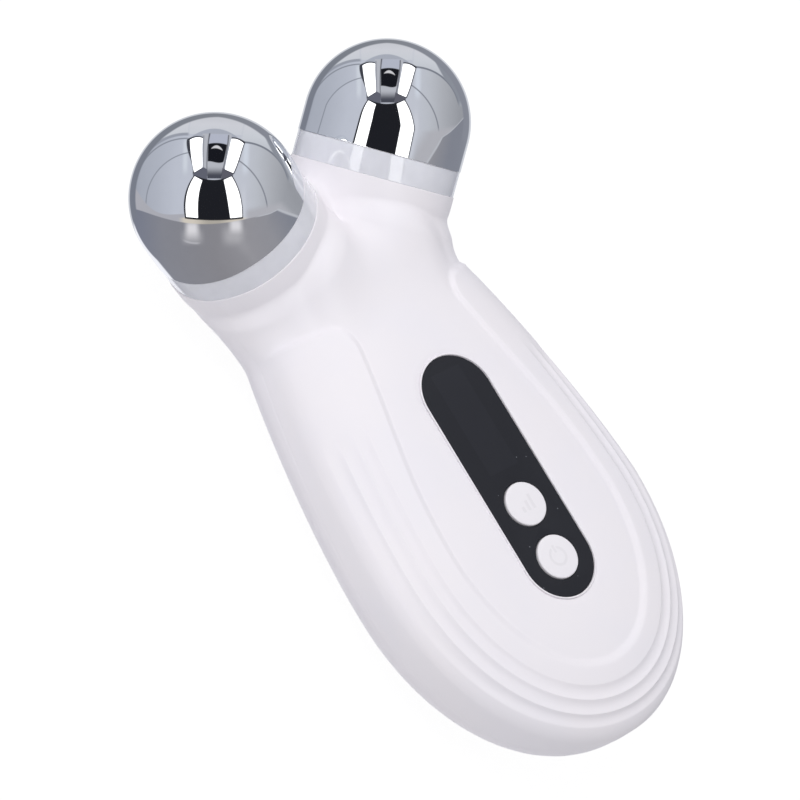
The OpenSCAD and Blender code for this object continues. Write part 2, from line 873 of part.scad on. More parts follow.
module horn_lead(r, z, x) {
    lead(horn_point([-r, 0, z]), horn_point([-r, 0, z - 13]), [x, 19, 2], [x, 19, board_z]);
}

module left_electrode_lead() {
    color([0.75, 0.1, 0.1]) seat() mirror([1, 0, 0]) horn_lead(3.9, boss_z - tab_t, 9);
}

module right_electrode_lead() {
    color([0.75, 0.1, 0.1]) seat() horn_lead(3.9, boss_z - tab_t, 9);
}

module left_ring_lead() {
    color([0.9, 0.9, 0.9]) seat() mirror([1, 0, 0]) horn_lead(7.5, shelf_z, 6.2);
}

module right_ring_lead() {
    color([0.9, 0.9, 0.9]) seat() horn_lead(7.5, shelf_z, 6.2);
}

module battery_lead(x) {
    y = battery_y + battery_len / 2;
    lead([x, y, battery_top - 2], [x, y + 6, battery_top - 2], [x, y + 5, under_board - 4],
        [x, y + 5, under_board]);
}

module battery_plus_lead() {
    color([0.75, 0.1, 0.1]) seat() battery_lead(3);
}

module battery_minus_lead() {
    color([0.1, 0.1, 0.1]) seat() battery_lead(-3);
}

module charge_lead(x) {
    y = charge_head - 2;
    lead([x, y, charge_z], [x, y, charge_z + 4], [x, y + 4, under_board - 4], [x, y + 4, under_board]);
}

module charge_plus_lead() {
    color([0.75, 0.1, 0.1]) seat() charge_lead(3);
}

module charge_minus_lead() {
    color([0.1, 0.1, 0.1]) seat() charge_lead(-3);
}

front_housing();
rear_housing();
control_panel();
mode_button();
power_button();
mode_switch();
power_switch();
mode_switch_plunger();
power_switch_plunger();
display_module();
main_board();
board_screws();
boost_transformer();
controller_chip();
battery();
battery_pad();
charge_board();
usb_socket();
left_electrode();
right_electrode();
left_light_ring();
right_light_ring();
left_ring_board();
right_ring_board();
left_ring_leds();
right_ring_leds();
left_electrode_carrier();
right_electrode_carrier();
electrode_screws();
left_terminal();
right_terminal();
left_electrode_lead();
right_electrode_lead();
left_ring_lead();
right_ring_lead();
battery_plus_lead();
battery_minus_lead();
charge_plus_lead();
charge_minus_lead();
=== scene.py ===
"""Hand-held facial toning device: egg-shaped grip, button panel, rings and domed electrodes."""
import json
import math
from functools import reduce
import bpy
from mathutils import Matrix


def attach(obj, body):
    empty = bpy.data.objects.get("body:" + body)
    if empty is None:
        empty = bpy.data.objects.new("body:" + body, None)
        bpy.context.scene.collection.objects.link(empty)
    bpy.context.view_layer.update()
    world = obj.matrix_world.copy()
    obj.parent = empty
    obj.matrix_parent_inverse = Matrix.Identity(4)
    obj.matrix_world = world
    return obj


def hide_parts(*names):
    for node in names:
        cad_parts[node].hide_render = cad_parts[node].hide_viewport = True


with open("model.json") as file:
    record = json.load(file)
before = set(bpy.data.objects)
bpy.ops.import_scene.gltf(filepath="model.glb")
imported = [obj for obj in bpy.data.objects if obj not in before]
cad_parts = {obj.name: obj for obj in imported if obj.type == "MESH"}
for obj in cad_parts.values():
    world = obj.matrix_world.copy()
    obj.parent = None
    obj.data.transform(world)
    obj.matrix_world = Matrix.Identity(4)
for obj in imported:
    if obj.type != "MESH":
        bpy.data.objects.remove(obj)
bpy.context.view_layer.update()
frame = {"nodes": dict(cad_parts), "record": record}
from types import SimpleNamespace

import bmesh
import bpy
import numpy as np
from bpy.props import FloatProperty, FloatVectorProperty, IntProperty, PointerProperty
from mathutils import Matrix, Vector

bl_info = {
    "name": "Facial Toner",
    "version": (1, 0, 0),
    "blender": (4, 5, 0),
    "location": "View3D > Sidebar > Facial Toner",
    "description": "Builds the grip, panel, rings and electrodes of a facial toning device",
    "category": "Add Mesh",
}

MM = 0.001
BODY = "device"
# The design frame has its origin on the panel's face; the row frame has it under the device.
CENTRE_Y = 15.43
REST_Z = -27.5


def size(name, default, description):
    return FloatProperty(name=name, description=description, default=default * MM,
                         subtype="DISTANCE", unit="LENGTH", precision=5)


def share(name, default, description, low=0.0, high=1.0):
    return FloatProperty(name=name, description=description, default=default, min=low, max=high)


def paint(name, default, description):
    return FloatVectorProperty(name=name, description=description, default=default,
                               subtype="COLOR", size=3, min=0.0, max=1.0)


class TonerGripSizes(bpy.types.PropertyGroup):
    half_width: size("Half width", 28.39, "Half of the grip's greatest breadth")
    tail: size("Tail length", 37.33, "From the widest place to the tail")
    head: size("Head length", 85.93, "Length over which the egg would close at the head")
    belly_y: size("Belly", -8.0, "Place of the greatest breadth along the grip")
    mid_z: size("Widest height", -10.34, "Height of the widest line in section")
    crown_z: size("Crown", 0.3, "Height at which the crown of the front would peak")
    belly_z: size("Back", -28.1, "Depth at which the back would peak")
    flat_z: size("Panel flat", 0.15, "Height of the flat round the panel")
    wall: size("Wall", 2.0, "Wall thickness of the housings")
    seam_z: size("Parting line", -13.5, "Height of the parting line along the grip")
    seam_gap: size("Seam groove", 0.03, "Depth of the fine groove along the parting line")
    band_step: size("Band", 0.6, "Height of the raised band")
    band_inset: size("Band inset", 10.6, "From the outline to the band's inner edge at the sides")
    band_tail_shift: size("Band shift at the tail", 0.9, "How much farther in the edge lies there")
    band_neck_shift: size("Band shift at the neck", 1.6, "How much farther in the edge lies there")
    band_top: size("Band end", 34.9, "Where the band ends on the neck")
    band_round: size("Band corner", 6.0, "Corner radius of the band's ends")
    band_slope: size("Band slope", 1.8, "Width of the slope at the band's inner edge")
    flute_depth: size("Flute depth", 0.38, "Depth of the flutes round the edge")
    crest_round: size("Crest rounding", 0.05, "How much the crests between flutes are rounded")
    mid_lean: share("Widest line drop", 0.089, "Drop of the widest line per length")
    tail_power: share("Tail squareness", 2.04, "Squareness of the tail in plan", 1.5, 3.0)
    head_power: share("Head squareness", 1.58, "Squareness of the head in plan", 1.2, 3.0)
    front_power: share("Front squareness", 2.85, "Squareness of the front in section", 1.5, 4.0)
    back_power: share("Back squareness", 2.5, "Squareness of the back in section", 1.5, 4.0)
    rows: IntProperty(name="Rows", description="Fineness of the skin along the grip",
                      default=44, min=12, max=70)


class TonerHeadSizes(bpy.types.PropertyGroup):
    dome_radius: size("Dome radius", 14.0, "Radius of an electrode's dome")
    dome_x: size("Dome offset", 19.44, "From the middle plane to a dome's centre")
    dome_y: size("Dome place", 62.24, "Place of the domes along the grip")
    dome_z: size("Dome height", -3.44, "Height of the dome centres")
    skirt: size("Skirt", 4.87, "Straight skirt behind a dome's centre")
    ring_length: size("Ring length", 4.26, "Length of the light ring that shows")
    ring_radius: size("Ring radius", 13.9, "Outer radius of the light ring")
    horn_radius: size("Horn radius", 14.03, "Radius of the horn's mouth")
    splay: FloatProperty(name="Splay", description="Sideways turn of each horn",
                         default=math.radians(29.7), subtype="ANGLE", unit="ROTATION")
    pitch: FloatProperty(name="Pitch", description="Forward pitch of both horns",
                         default=math.radians(38.44), subtype="ANGLE", unit="ROTATION")


class TonerPanelSizes(bpy.types.PropertyGroup):
    length: size("Length", 44.8, "Length of the panel")
    width: size("Width", 13.87, "Width of the panel")
    thickness: size("Thickness", 1.2, "Thickness of the panel")
    lip: size("Lip", 0.3, "Width of the moulded lip round the panel")
    button_radius: size("Button radius", 3.81, "Radius of a button")
    mode_y: size("Mode button", -5.43, "Place of the mode button along the panel")
    power_y: size("Power button", -15.43, "Place of the power button along the panel")
    rise: size("Button rise", 0.45, "How far a button stands out of the panel")
    gap: size("Button gap", 0.12, "Gap round a button")


class TonerFinish(bpy.types.PropertyGroup):
    shell: paint("Shell", (0.93, 0.897, 0.934), "Satin white of the housings")
    button: paint("Buttons", (0.915, 0.889, 0.926), "White of the buttons")
    panel: paint("Panel", (0.0165, 0.0172, 0.0225), "Black of the panel")
    chrome: paint("Chrome", (0.86, 0.87, 0.885), "Polish of the electrodes")
    ring: paint("Rings", (0.78, 0.785, 0.84), "Frosted tint of the light rings")
    dish: size("Panel dish", 0.11, "How far the front sinks towards the panel's edge")


class TonerStudio(bpy.types.PropertyGroup):
    sky: FloatProperty(name="Sky", description="Strength of the even studio light", default=0.55)
    key: FloatProperty(name="Key", description="Power of the key lamp in watts", default=5.0)
    fill: FloatProperty(name="Fill", description="Power of the fill lamp in watts", default=0.8)
    lens: FloatProperty(name="Lens", description="Focal length in millimetres", default=231.94)


def sizes(name):
    """Numbers of a property group of the scene, its lengths in design millimetres."""
    group = getattr(bpy.context.scene, "toner_" + name)
    return SimpleNamespace(**{
        key: getattr(group, key) / MM if kind.unit == "LENGTH" else getattr(group, key)
        for key, kind in group.bl_rna.properties.items() if kind.type in {"FLOAT", "INT"}})


# ---- shader maths


class Num:
    """A number socket: reckoning with it adds Math nodes."""

    def __init__(self, tree, socket):
        self.tree = tree
        self.socket = socket

    def _math(self, operation, *values):
        node = self.tree.node("ShaderNodeMath", {"operation": operation}, dict(enumerate(values)))
        return Num(self.tree, node.outputs[0])

    def __add__(self, other):
        return self._math("ADD", self, other)

    def __radd__(self, other):
        return self._math("ADD", other, self)

    def __sub__(self, other):
        return self._math("SUBTRACT", self, other)

    def __rsub__(self, other):
        return self._math("SUBTRACT", other, self)

    def __mul__(self, other):
        return self._math("MULTIPLY", self, other)

    def __rmul__(self, other):
        return self._math("MULTIPLY", other, self)

    def __truediv__(self, other):
        return self._math("DIVIDE", self, other)

    def __rtruediv__(self, other):
        return self._math("DIVIDE", other, self)

    def __pow__(self, other):
        return self._math("POWER", self, other)

    def __rpow__(self, other):
        return self._math("POWER", other, self)

    def __neg__(self):
        return self * -1.0

    def __abs__(self):
        return self._math("ABSOLUTE", self)

    def root(self):
        return self._math("SQRT", self)

    def pingpong(self, top):
        return self._math("PINGPONG", self, top)

    def least(self, other):
        return self._math("MINIMUM", self, other)

    def most(self, other):
        return self._math("MAXIMUM", self, other)

    def step(self, start, end):
        """0 below start, 1 above end, smooth between them."""
        node = self.tree.node("ShaderNodeMapRange", {"interpolation_type": "SMOOTHSTEP"},
                              {"Value": self, "From Min": start, "From Max": end})
        return Num(self.tree, node.outputs["Result"])

    def fall(self, start, end):
        """1 below start, 0 above end, smooth between them."""
        return 1.0 - self.step(start, end)

    def near(self, middle, start, end):
        """1 up to start from the middle on either side, 0 past end."""
        return abs(self - middle).fall(start, end)


class Tree:
    """Node tree built from one kind of call."""

    def __init__(self, tree):
        self.tree = tree
        tree.nodes.clear()

    def node(self, kind, settings=None, inputs=None):
        """A node with its settings, and then the values or links of its sockets."""
        node = self.tree.nodes.new(kind)
        for key, value in (settings or {}).items():
            if key == "stops":
                ramp = node.color_ramp.elements
                ramp[0].position, ramp[1].position = value[0][0], value[-1][0]
                ramp[0].color, ramp[1].color = (*value[0][1], 1.0), (*value[-1][1], 1.0)
                for place, colour in value[1:-1]:
                    ramp.new(place).color = (*colour, 1.0)
            else:
                setattr(node, key, value)
        for key, value in (inputs or {}).items():
            slot = node.inputs[key]
            if isinstance(value, Num):
                value = value.socket
            if isinstance(value, bpy.types.NodeSocket):
                self.tree.links.new(value, slot)
            else:
                padded = slot.type == "RGBA" and len(value) == 3
                slot.default_value = (*value, 1.0) if padded else value
        return node

    def num(self, socket):
        return Num(self, socket)


class Shader(Tree):
    """Node tree of a material or world."""

    def __init__(self, owner):
        owner.use_nodes = True
        super().__init__(owner.node_tree)

    def shaded(self, mask, colour, factor):
        """The colour where mask is 0, and scaled where it is 1."""
        return self.mix(mask, tuple(colour), scaled(colour, factor))

    def mix(self, mask, a, b):
        """Colour a where mask is 0, b where it is 1."""
        return self.node("ShaderNodeMix", {"data_type": "RGBA"}, {0: mask, 6: a, 7: b}).outputs[2]

    def blend(self, mask, a, b):
        """Shader a where mask is 0, b where it is 1."""
        return self.node("ShaderNodeMixShader", inputs={0: mask, 1: a, 2: b}).outputs[0]

    def axes(self, vector):
        """The three numbers of a vector socket."""
        parts = self.node("ShaderNodeSeparateXYZ", inputs={"Vector": vector})
        return [self.num(parts.outputs[k]) for k in range(3)]

    def place(self):
        """Object coordinates, in millimetres of the design frame."""
        coords = self.node("ShaderNodeTexCoord").outputs["Object"]
        shifted = self.node("ShaderNodeVectorMath", {"operation": "MULTIPLY_ADD"}, {
            0: coords, 1: (1 / MM, 1 / MM, 1 / MM), 2: (0.0, CENTRE_Y, REST_Z)})
        return shifted.outputs["Vector"]

    def noise(self, where, scale, detail=2.0):
        node = self.node("ShaderNodeTexNoise", inputs={"Vector": where, "Scale": scale,
                                                       "Detail": detail})
        return self.num(node.outputs[0])

    def bump(self, height, strength, distance):
        node = self.node("ShaderNodeBump", inputs={"Height": height, "Strength": strength,
                                                   "Distance": distance})
        return node.outputs["Normal"]

    def surface(self, **inputs):
        names = {key.replace("_", " ").title().replace("Ior", "IOR"): value
                 for key, value in inputs.items()}
        shader = self.node("ShaderNodeBsdfPrincipled", inputs=names)
        self.node("ShaderNodeOutputMaterial", inputs={"Surface": shader.outputs["BSDF"]})


def speckled(shader, where, scale, share_of_cells, radius):
    """Mask of small specks, one in a few of the cells of a scattered grid."""
    cells = shader.node("ShaderNodeTexVoronoi", inputs={"Vector": where, "Scale": scale})
    chance = shader.axes(cells.outputs["Color"])[0]
    return (shader.num(cells.outputs["Distance"]).fall(radius * 0.5, radius)
            * chance.step(1.0 - share_of_cells, 1.01 - share_of_cells))


# Colour, roughness, metal and grain of the parts inside
INNER_FINISHES = {
    "switch_black": ((0.03, 0.03, 0.032), 0.45, 0.0, 4.0),
    "switch_plunger": ((0.70, 0.67, 0.58), 0.5, 0.0, 4.0),
    "display_black": ((0.012, 0.012, 0.015), 0.2, 0.0, 1.0),
    "fastener_steel": ((0.56, 0.56, 0.58), 0.32, 1.0, 6.0),
    "ferrite": ((0.05, 0.045, 0.045), 0.7, 0.0, 6.0),
    "chip_black": ((0.02, 0.02, 0.022), 0.5, 0.0, 8.0),
    "battery_wrap": ((0.30, 0.35, 0.43), 0.35, 0.3, 0.8),
    "foam": ((0.03, 0.03, 0.03), 0.95, 0.0, 5.0),
    "socket_steel": ((0.60, 0.60, 0.62), 0.28, 1.0, 5.0),
    "board_white": ((0.78, 0.78, 0.75), 0.4, 0.0, 2.0),
    "led_lens": ((0.85, 0.78, 0.40), 0.2, 0.0, 3.0),
    "carrier_plastic": ((0.78, 0.78, 0.78), 0.5, 0.0, 3.0),
    "terminal_brass": ((0.78, 0.62, 0.32), 0.3, 1.0, 4.0),
    "lead_red": ((0.50, 0.03, 0.03), 0.4, 0.0, 3.0),
    "lead_white": ((0.80, 0.80, 0.80), 0.4, 0.0, 3.0),
    "lead_black": ((0.02, 0.02, 0.02), 0.4, 0.0, 3.0),
}
FINISHES = {}


def finish(slot):
    """Material of a slot; the first call makes them all."""
    if not FINISHES:
        make_finishes(sizes("finish"), sizes("panel"))
    return FINISHES[slot]


def scaled(colour, factor):
    """The colour times a factor, or times one for each channel, at most 1."""
    return tuple(np.minimum(np.array(colour) * factor, 1.0).tolist())


def make_finishes(colours, panel):
    """Every material of the device, by its slot name."""

    def start(name):
        FINISHES[name] = bpy.data.materials.new(name)
        s = Shader(FINISHES[name])
        where = s.place()
        return s, where, s.axes(where)

    # Satin white moulding: warm and cool drift, a very fine grain, a dish round the panel
    s, where, (x, y, z) = start("shell_white")
    arc = panel.width / 2
    past = (abs(y) - (panel.length / 2 - arc)).most(0.0)
    dish = (((x * x + past * past).root() - arc).step(0.1, 1.5) - 1.0) * z.step(-3.0, -2.0)
    drift = s.noise(where, 0.06, 3.0)
    grain = s.noise(where, 9.0, 4.0)
    s.surface(base_color=s.shaded(drift.step(0.35, 0.65), colours.shell, (0.985, 0.99, 1.0)),
              roughness=0.36 + grain * 0.08,
              normal=s.bump(dish * colours.dish + grain * 0.002, 1.0, MM))

    # Buttons: the same moulding, each with a faint sunk sign whose recess is darkened by painted
    # shade
    s, where, (x, y, z) = start("button_white")
    sunk = power_sign(x, y - panel.power_y) + level_sign(x, y - panel.mode_y)
    grain = s.noise(where, 9.0, 4.0)
    # Painted shade: the sunk sign's colour is darkened on the cap's top, besides the bump that
    # sinks it
    s.surface(base_color=s.shaded(sunk * z.step(0.1, 0.2), colours.button, 0.935),
              roughness=0.33 + grain * 0.06, normal=s.bump(1.0 - sunk, 0.35, 0.00006))

    # Panel: matt black sheet, a slightly lighter display window and a few specks of dust
    s, where, (x, y, _) = start("panel_black")
    window = x.near(0.0, 3.05, 3.25) * y.near(10.6, 9.3, 9.6)
    specks = speckled(s, where, 0.55, 0.16, 0.07)
    fine = s.noise(where, 5.0, 5.0)
    sheet = s.shaded(window, colours.panel, 1.18)
    s.surface(base_color=s.mix(specks * 0.6, sheet, (0.32, 0.34, 0.38)),
              roughness=0.42 + fine * 0.06 - window * 0.05, normal=s.bump(fine, 0.04, 0.00003),
              specular_ior_level=0.24)

    # Chrome: near mirror with the faintest wipe marks
    s, where, _ = start("electrode_chrome")
    wipe = s.noise(where, 0.5, 4.0)
    s.surface(base_color=s.shaded(wipe.step(0.3, 0.7), colours.chrome, 0.985),
              metallic=1.0, roughness=0.018 + wipe * 0.016)

    # Light ring: frosted collar with a clear glossy skin
    s, where, _ = start("ring_clear")
    cloud = s.noise(where, 0.25, 2.0)
    s.surface(base_color=s.shaded(cloud.step(0.3, 0.7), colours.ring, 1.06),
              roughness=0.05 + cloud * 0.04, subsurface_weight=0.25,
              subsurface_radius=(0.002, 0.002, 0.0022), coat_weight=1.0, coat_roughness=0.02)

    # The parts inside: one grained finish in many tints
    for name, (tint, rough, metal, coarse) in INNER_FINISHES.items():
        s, where, _ = start(name)
        grain = s.noise(where, coarse, 3.0)
        s.surface(base_color=s.mix(grain, scaled(tint, 0.9), tint),
                  roughness=rough + (grain - 0.5) * 0.1, metallic=metal,
                  normal=s.bump(grain, 0.08, 0.00004))

    # Boards: solder mask with copper tracks just showing under it
    s, _, (x, *_) = start("board_green")
    tracks = (x * 1.3).pingpong(1.0).step(0.6, 0.7)
    s.surface(base_color=s.mix(tracks, (0.02, 0.16, 0.07), (0.035, 0.22, 0.10)),
              roughness=0.32 + tracks * 0.05, normal=s.bump(tracks, 0.1, 0.00003))


def power_sign(x, y):
    """Broken ring with a bar at its gap, about the button's middle."""
    ring = (x * x + y * y).root().near(1.5, 0.14, 0.32)
    gap = x.near(0.0, 0.45, 0.6) * y.step(0.0, 0.1)
    bar = x.near(0.0, 0.14, 0.32) * y.near(1.35, 0.62, 0.75)
    return (ring * (1.0 - gap)).most(bar)


def level_sign(x, y):
    """Three rising bars on one foot, about the button's middle."""
    bars = [x.near(place, 0.22, 0.36) * y.near(half - 1.3, half - 0.06, half + 0.06)
            for place, half in ((-1.1, 0.5), (0.0, 0.9), (1.1, 1.3))]
    return reduce(Num.most, bars)


# ---- mesh helpers


def to_row(points):
    """Design millimetres to metres in the row frame."""
    return (np.asarray(points, float) - [0.0, CENTRE_Y, REST_Z]) * MM


def weld(mesh):
    """Joins equal points, so that the mesh closes, and turns its faces outwards."""
    work = bmesh.new()
    work.from_mesh(mesh)
    bmesh.ops.remove_doubles(work, verts=work.verts, dist=2e-7)
    bmesh.ops.recalc_face_normals(work, faces=work.faces)
    work.to_mesh(mesh)
    work.free()


def linked(name, data):
    """New object in the scene."""
    piece = bpy.data.objects.new(name, data)
    bpy.context.collection.objects.link(piece)
    return piece


def mesh_object(name, points, faces):
    """Closed object from row-frame points."""
    mesh = bpy.data.meshes.new(name)
    mesh.from_pydata([tuple(p) for p in points], [], [tuple(f) for f in faces])
    weld(mesh)
    return linked(name, mesh)


def baked(piece, name):
    """The evaluated piece as a plain object; the first one goes."""
    graph = bpy.context.evaluated_depsgraph_get()
    mesh = bpy.data.meshes.new_from_object(piece.evaluated_get(graph), depsgraph=graph)
    plain = linked(name, mesh)
    bpy.data.objects.remove(piece)
    plain.name = name
    return plain


def carved(piece, added=(), taken=()):
    """The piece with solids joined to it and others cut from it."""
    name = piece.name
    for solids, operation in ((added, "UNION"), (taken, "DIFFERENCE")):
        for solid in solids:
            step = piece.modifiers.new(operation.title(), "BOOLEAN")
            step.operation = operation
            step.solver = "MANIFOLD"
            step.object = solid
    piece.name = name + "_rough"
    plain = baked(piece, name)
    for solid in (*added, *taken):
        bpy.data.objects.remove(solid)
    return plain


def finished(piece, slot, body, replaced, sharp=32.0):
    """Shading, material and the piece's place in the frame."""
    mesh = piece.data
    mesh.shade_smooth()
    mesh.set_sharp_from_angle(angle=math.radians(sharp))
    mesh.materials.clear()
    mesh.materials.append(finish(slot))
    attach(piece, body)
    if replaced:
        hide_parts(*replaced)


def prism(outline, low, high, turn=None):
    """Closed solid over an outline, between two heights, in design millimetres."""
    outline = np.asarray(outline, float)
    count = len(outline)
    points = np.vstack([np.column_stack([outline, np.full(count, h)]) for h in (low, high)])
    if turn is not None:
        points = points @ np.asarray(turn, float).T
    faces = [(k, (k + 1) % count, (k + 1) % count + count, k + count) for k in range(count)]
    faces += [tuple(range(count - 1, -1, -1)), tuple(range(count, 2 * count))]
    return mesh_object("solid", to_row(points), faces)


def stadium(length, width, steps=48):
    """Outline with round ends along y, counter-clockwise."""
    r, straight = width / 2, (length - width) / 2
    turn = np.linspace(0, math.pi, steps + 1)
    head = np.column_stack([r * np.cos(turn), straight + r * np.sin(turn)])
    return np.vstack([head, -head])


def disc(r, x=0.0, y=0.0, steps=64):
    turn = np.linspace(0, 2 * math.pi, steps, endpoint=False)
    return np.column_stack([x + r * np.cos(turn), y + r * np.sin(turn)])


def slab(x0, x1, y, reach):
    """Outline of a block that reaches as far up and down from y."""
    (x0, x1), y0, y1 = sorted((x0, x1)), y - reach, y + reach
    return np.array([[x0, y0], [x1, y0], [x1, y1], [x0, y1]])


def rounded_profile(corners):
    """Profile (r, z) from corners (r, z, fillet), each corner turned by its fillet."""
    made = []
    count = len(corners)
    for k, (r, z, fillet) in enumerate(corners):
        here = np.array([r, z])
        if fillet <= 0:
            made.append(here)
            continue
        before = np.array(corners[k - 1][:2]) - here
        after = np.array(corners[(k + 1) % count][:2]) - here
        before, after = before / np.linalg.norm(before), after / np.linalg.norm(after)
        reach = fillet / math.tan(0.5 * math.acos(float(np.clip(before @ after, -1, 1))))
        for t in np.linspace(0, 1, 7):
            a, b = here + before * reach, here + after * reach
            made.append((1 - t) ** 2 * a + 2 * t * (1 - t) * here + t * t * b)
    return np.array(made)


def turned(name, profile, centre, axes, steps=144):
    """Closed profile (r, z) in millimetres turned about an axis."""
    profile = np.asarray(profile, float)
    angle = np.linspace(0, 2 * math.pi, steps, endpoint=False)
    r, z = np.maximum(profile[:, 0], 0.0), profile[:, 1]
    local = np.stack([np.outer(np.cos(angle), r), np.outer(np.sin(angle), r),
                      np.broadcast_to(z, (steps, len(z)))], -1)
    points = centre + local.reshape(-1, 3) @ np.asarray(axes).T
    rows = len(profile)
    faces = []
    for k in range(steps):
        a, b = k * rows, (k + 1) % steps * rows
        for j in range(rows):
            n = (j + 1) % rows
            if r[j] > 0 or r[n] > 0:
                faces.append((a + j, b + j, b + n, a + n))
    return mesh_object(name, to_row(points), faces)


# ---- skin of the grip


def ease(u):
    u = np.clip(u, 0.0, 1.0)
    return u * u * (3 - 2 * u)


def unit(v):
    return v / np.linalg.norm(v, axis=-1, keepdims=True)


def soft_min(a, b, k):
    h = np.maximum(k - np.abs(a - b), 0) / k
    return np.minimum(a, b) - h * h * k / 4


def soft_max(a, b, k):
    return -soft_min(-a, -b, k)


def halved(low, high, rounds, inside):
    """Where inside, true at low, turns false on the way to high."""
    for _ in range(rounds):
        middle = (low + high) / 2
        hit = inside(middle)
        low, high = np.where(hit, middle, low), np.where(hit, high, middle)
    return (low + high) / 2


class Horn:
    """Axes of the right horn, in design millimetres."""

    def __init__(self, head):
        splay, pitch = head.splay, head.pitch
        self.centre = np.array([head.dome_x, head.dome_y, head.dome_z])
        self.axis = np.array([math.sin(splay), math.cos(splay) * math.cos(pitch),
                              math.cos(splay) * math.sin(pitch)])
        self.side = np.array([math.cos(splay), -math.sin(splay) * math.cos(pitch),
                              -math.sin(splay) * math.sin(pitch)])
        self.back = np.array([0.0, math.sin(pitch), -math.cos(pitch)])
        self.foot = head.skirt + head.ring_length
        self.mouth = self.centre - self.foot * self.axis

    def both(self):
        """Name, centre and axes (columns) of the right and the left horn."""
        for name, side in (("right", 1.0), ("left", -1.0)):
            flip = np.array([side, 1.0, 1.0])
            yield name, self.centre * flip, np.column_stack([
                self.side * flip * side, self.back * flip, self.axis * flip])


# Where the egg ends on the neck, how deep the horns' roots lie and where the sections turn
EGG_END, HORN_ROOT, NECK_Y = 44.0, 11.0, 38.0
# Web at the front of the fork: its lowest place, half its width and how far it is raised
WEB_Z, WEB_HALF, WEB_RISE = -6.0, 16.0, 2.5
# Half of the band's straight end on the neck, and its slant beyond that
BAND_END_HALF, BAND_END_SLANT = 16.0, 0.27
# Shift of the crests at the tail, and where the flutes and all relief fade out
CREST_SHIFT, FLUTES_END, RELIEF_LOW = 0.9, 19.5, -12.0
# Rounding of the horns' mouths: its height, and how far below the mouth it starts
MOUTH_DROP, MOUTH_REACH = 0.12, 0.15
# Longer than any ray from a section's centre to the skin
RAY = 60.0
# Insets of the crests between the flutes
CRESTS = (7.2, 5.0, 2.92, 1.2)
# Columns of the front skin: an inset, and the shares of the slope's inset and the crests' shift
SKIN_COLUMNS = np.array(
    [(q, 1, 0) for q in (1.2, 0.95, 0.8, 0.65, 0.5, 0.25, 0, -0.25, -0.5, -0.65, -0.8, -1.0)]
    + [(10 * t - 1, 1 - t, t) for t in (0.17, 0.34, 0.5, 0.67, 0.84)]
    + [(q, 0, 1) for q in (9.0, 8.3, 7.7, 7.35, 7.27, 7.2, 7.13, 7.0, 6.75, 6.45, 6.1, 5.75, 5.45,
                           5.2, 5.08, 5.0, 4.92, 4.8, 4.55, 4.25, 3.96, 3.65, 3.35, 3.12, 3.0,
                           2.92, 2.84, 2.72, 2.5, 2.3, 2.06, 1.82, 1.6, 1.4, 1.28, 1.2)]
    + [(1.2 * f, 0, f) for f in (0.93, 0.85, 0.7, 0.5, 0.3, 0.15)] + [(0, 0, 0)])


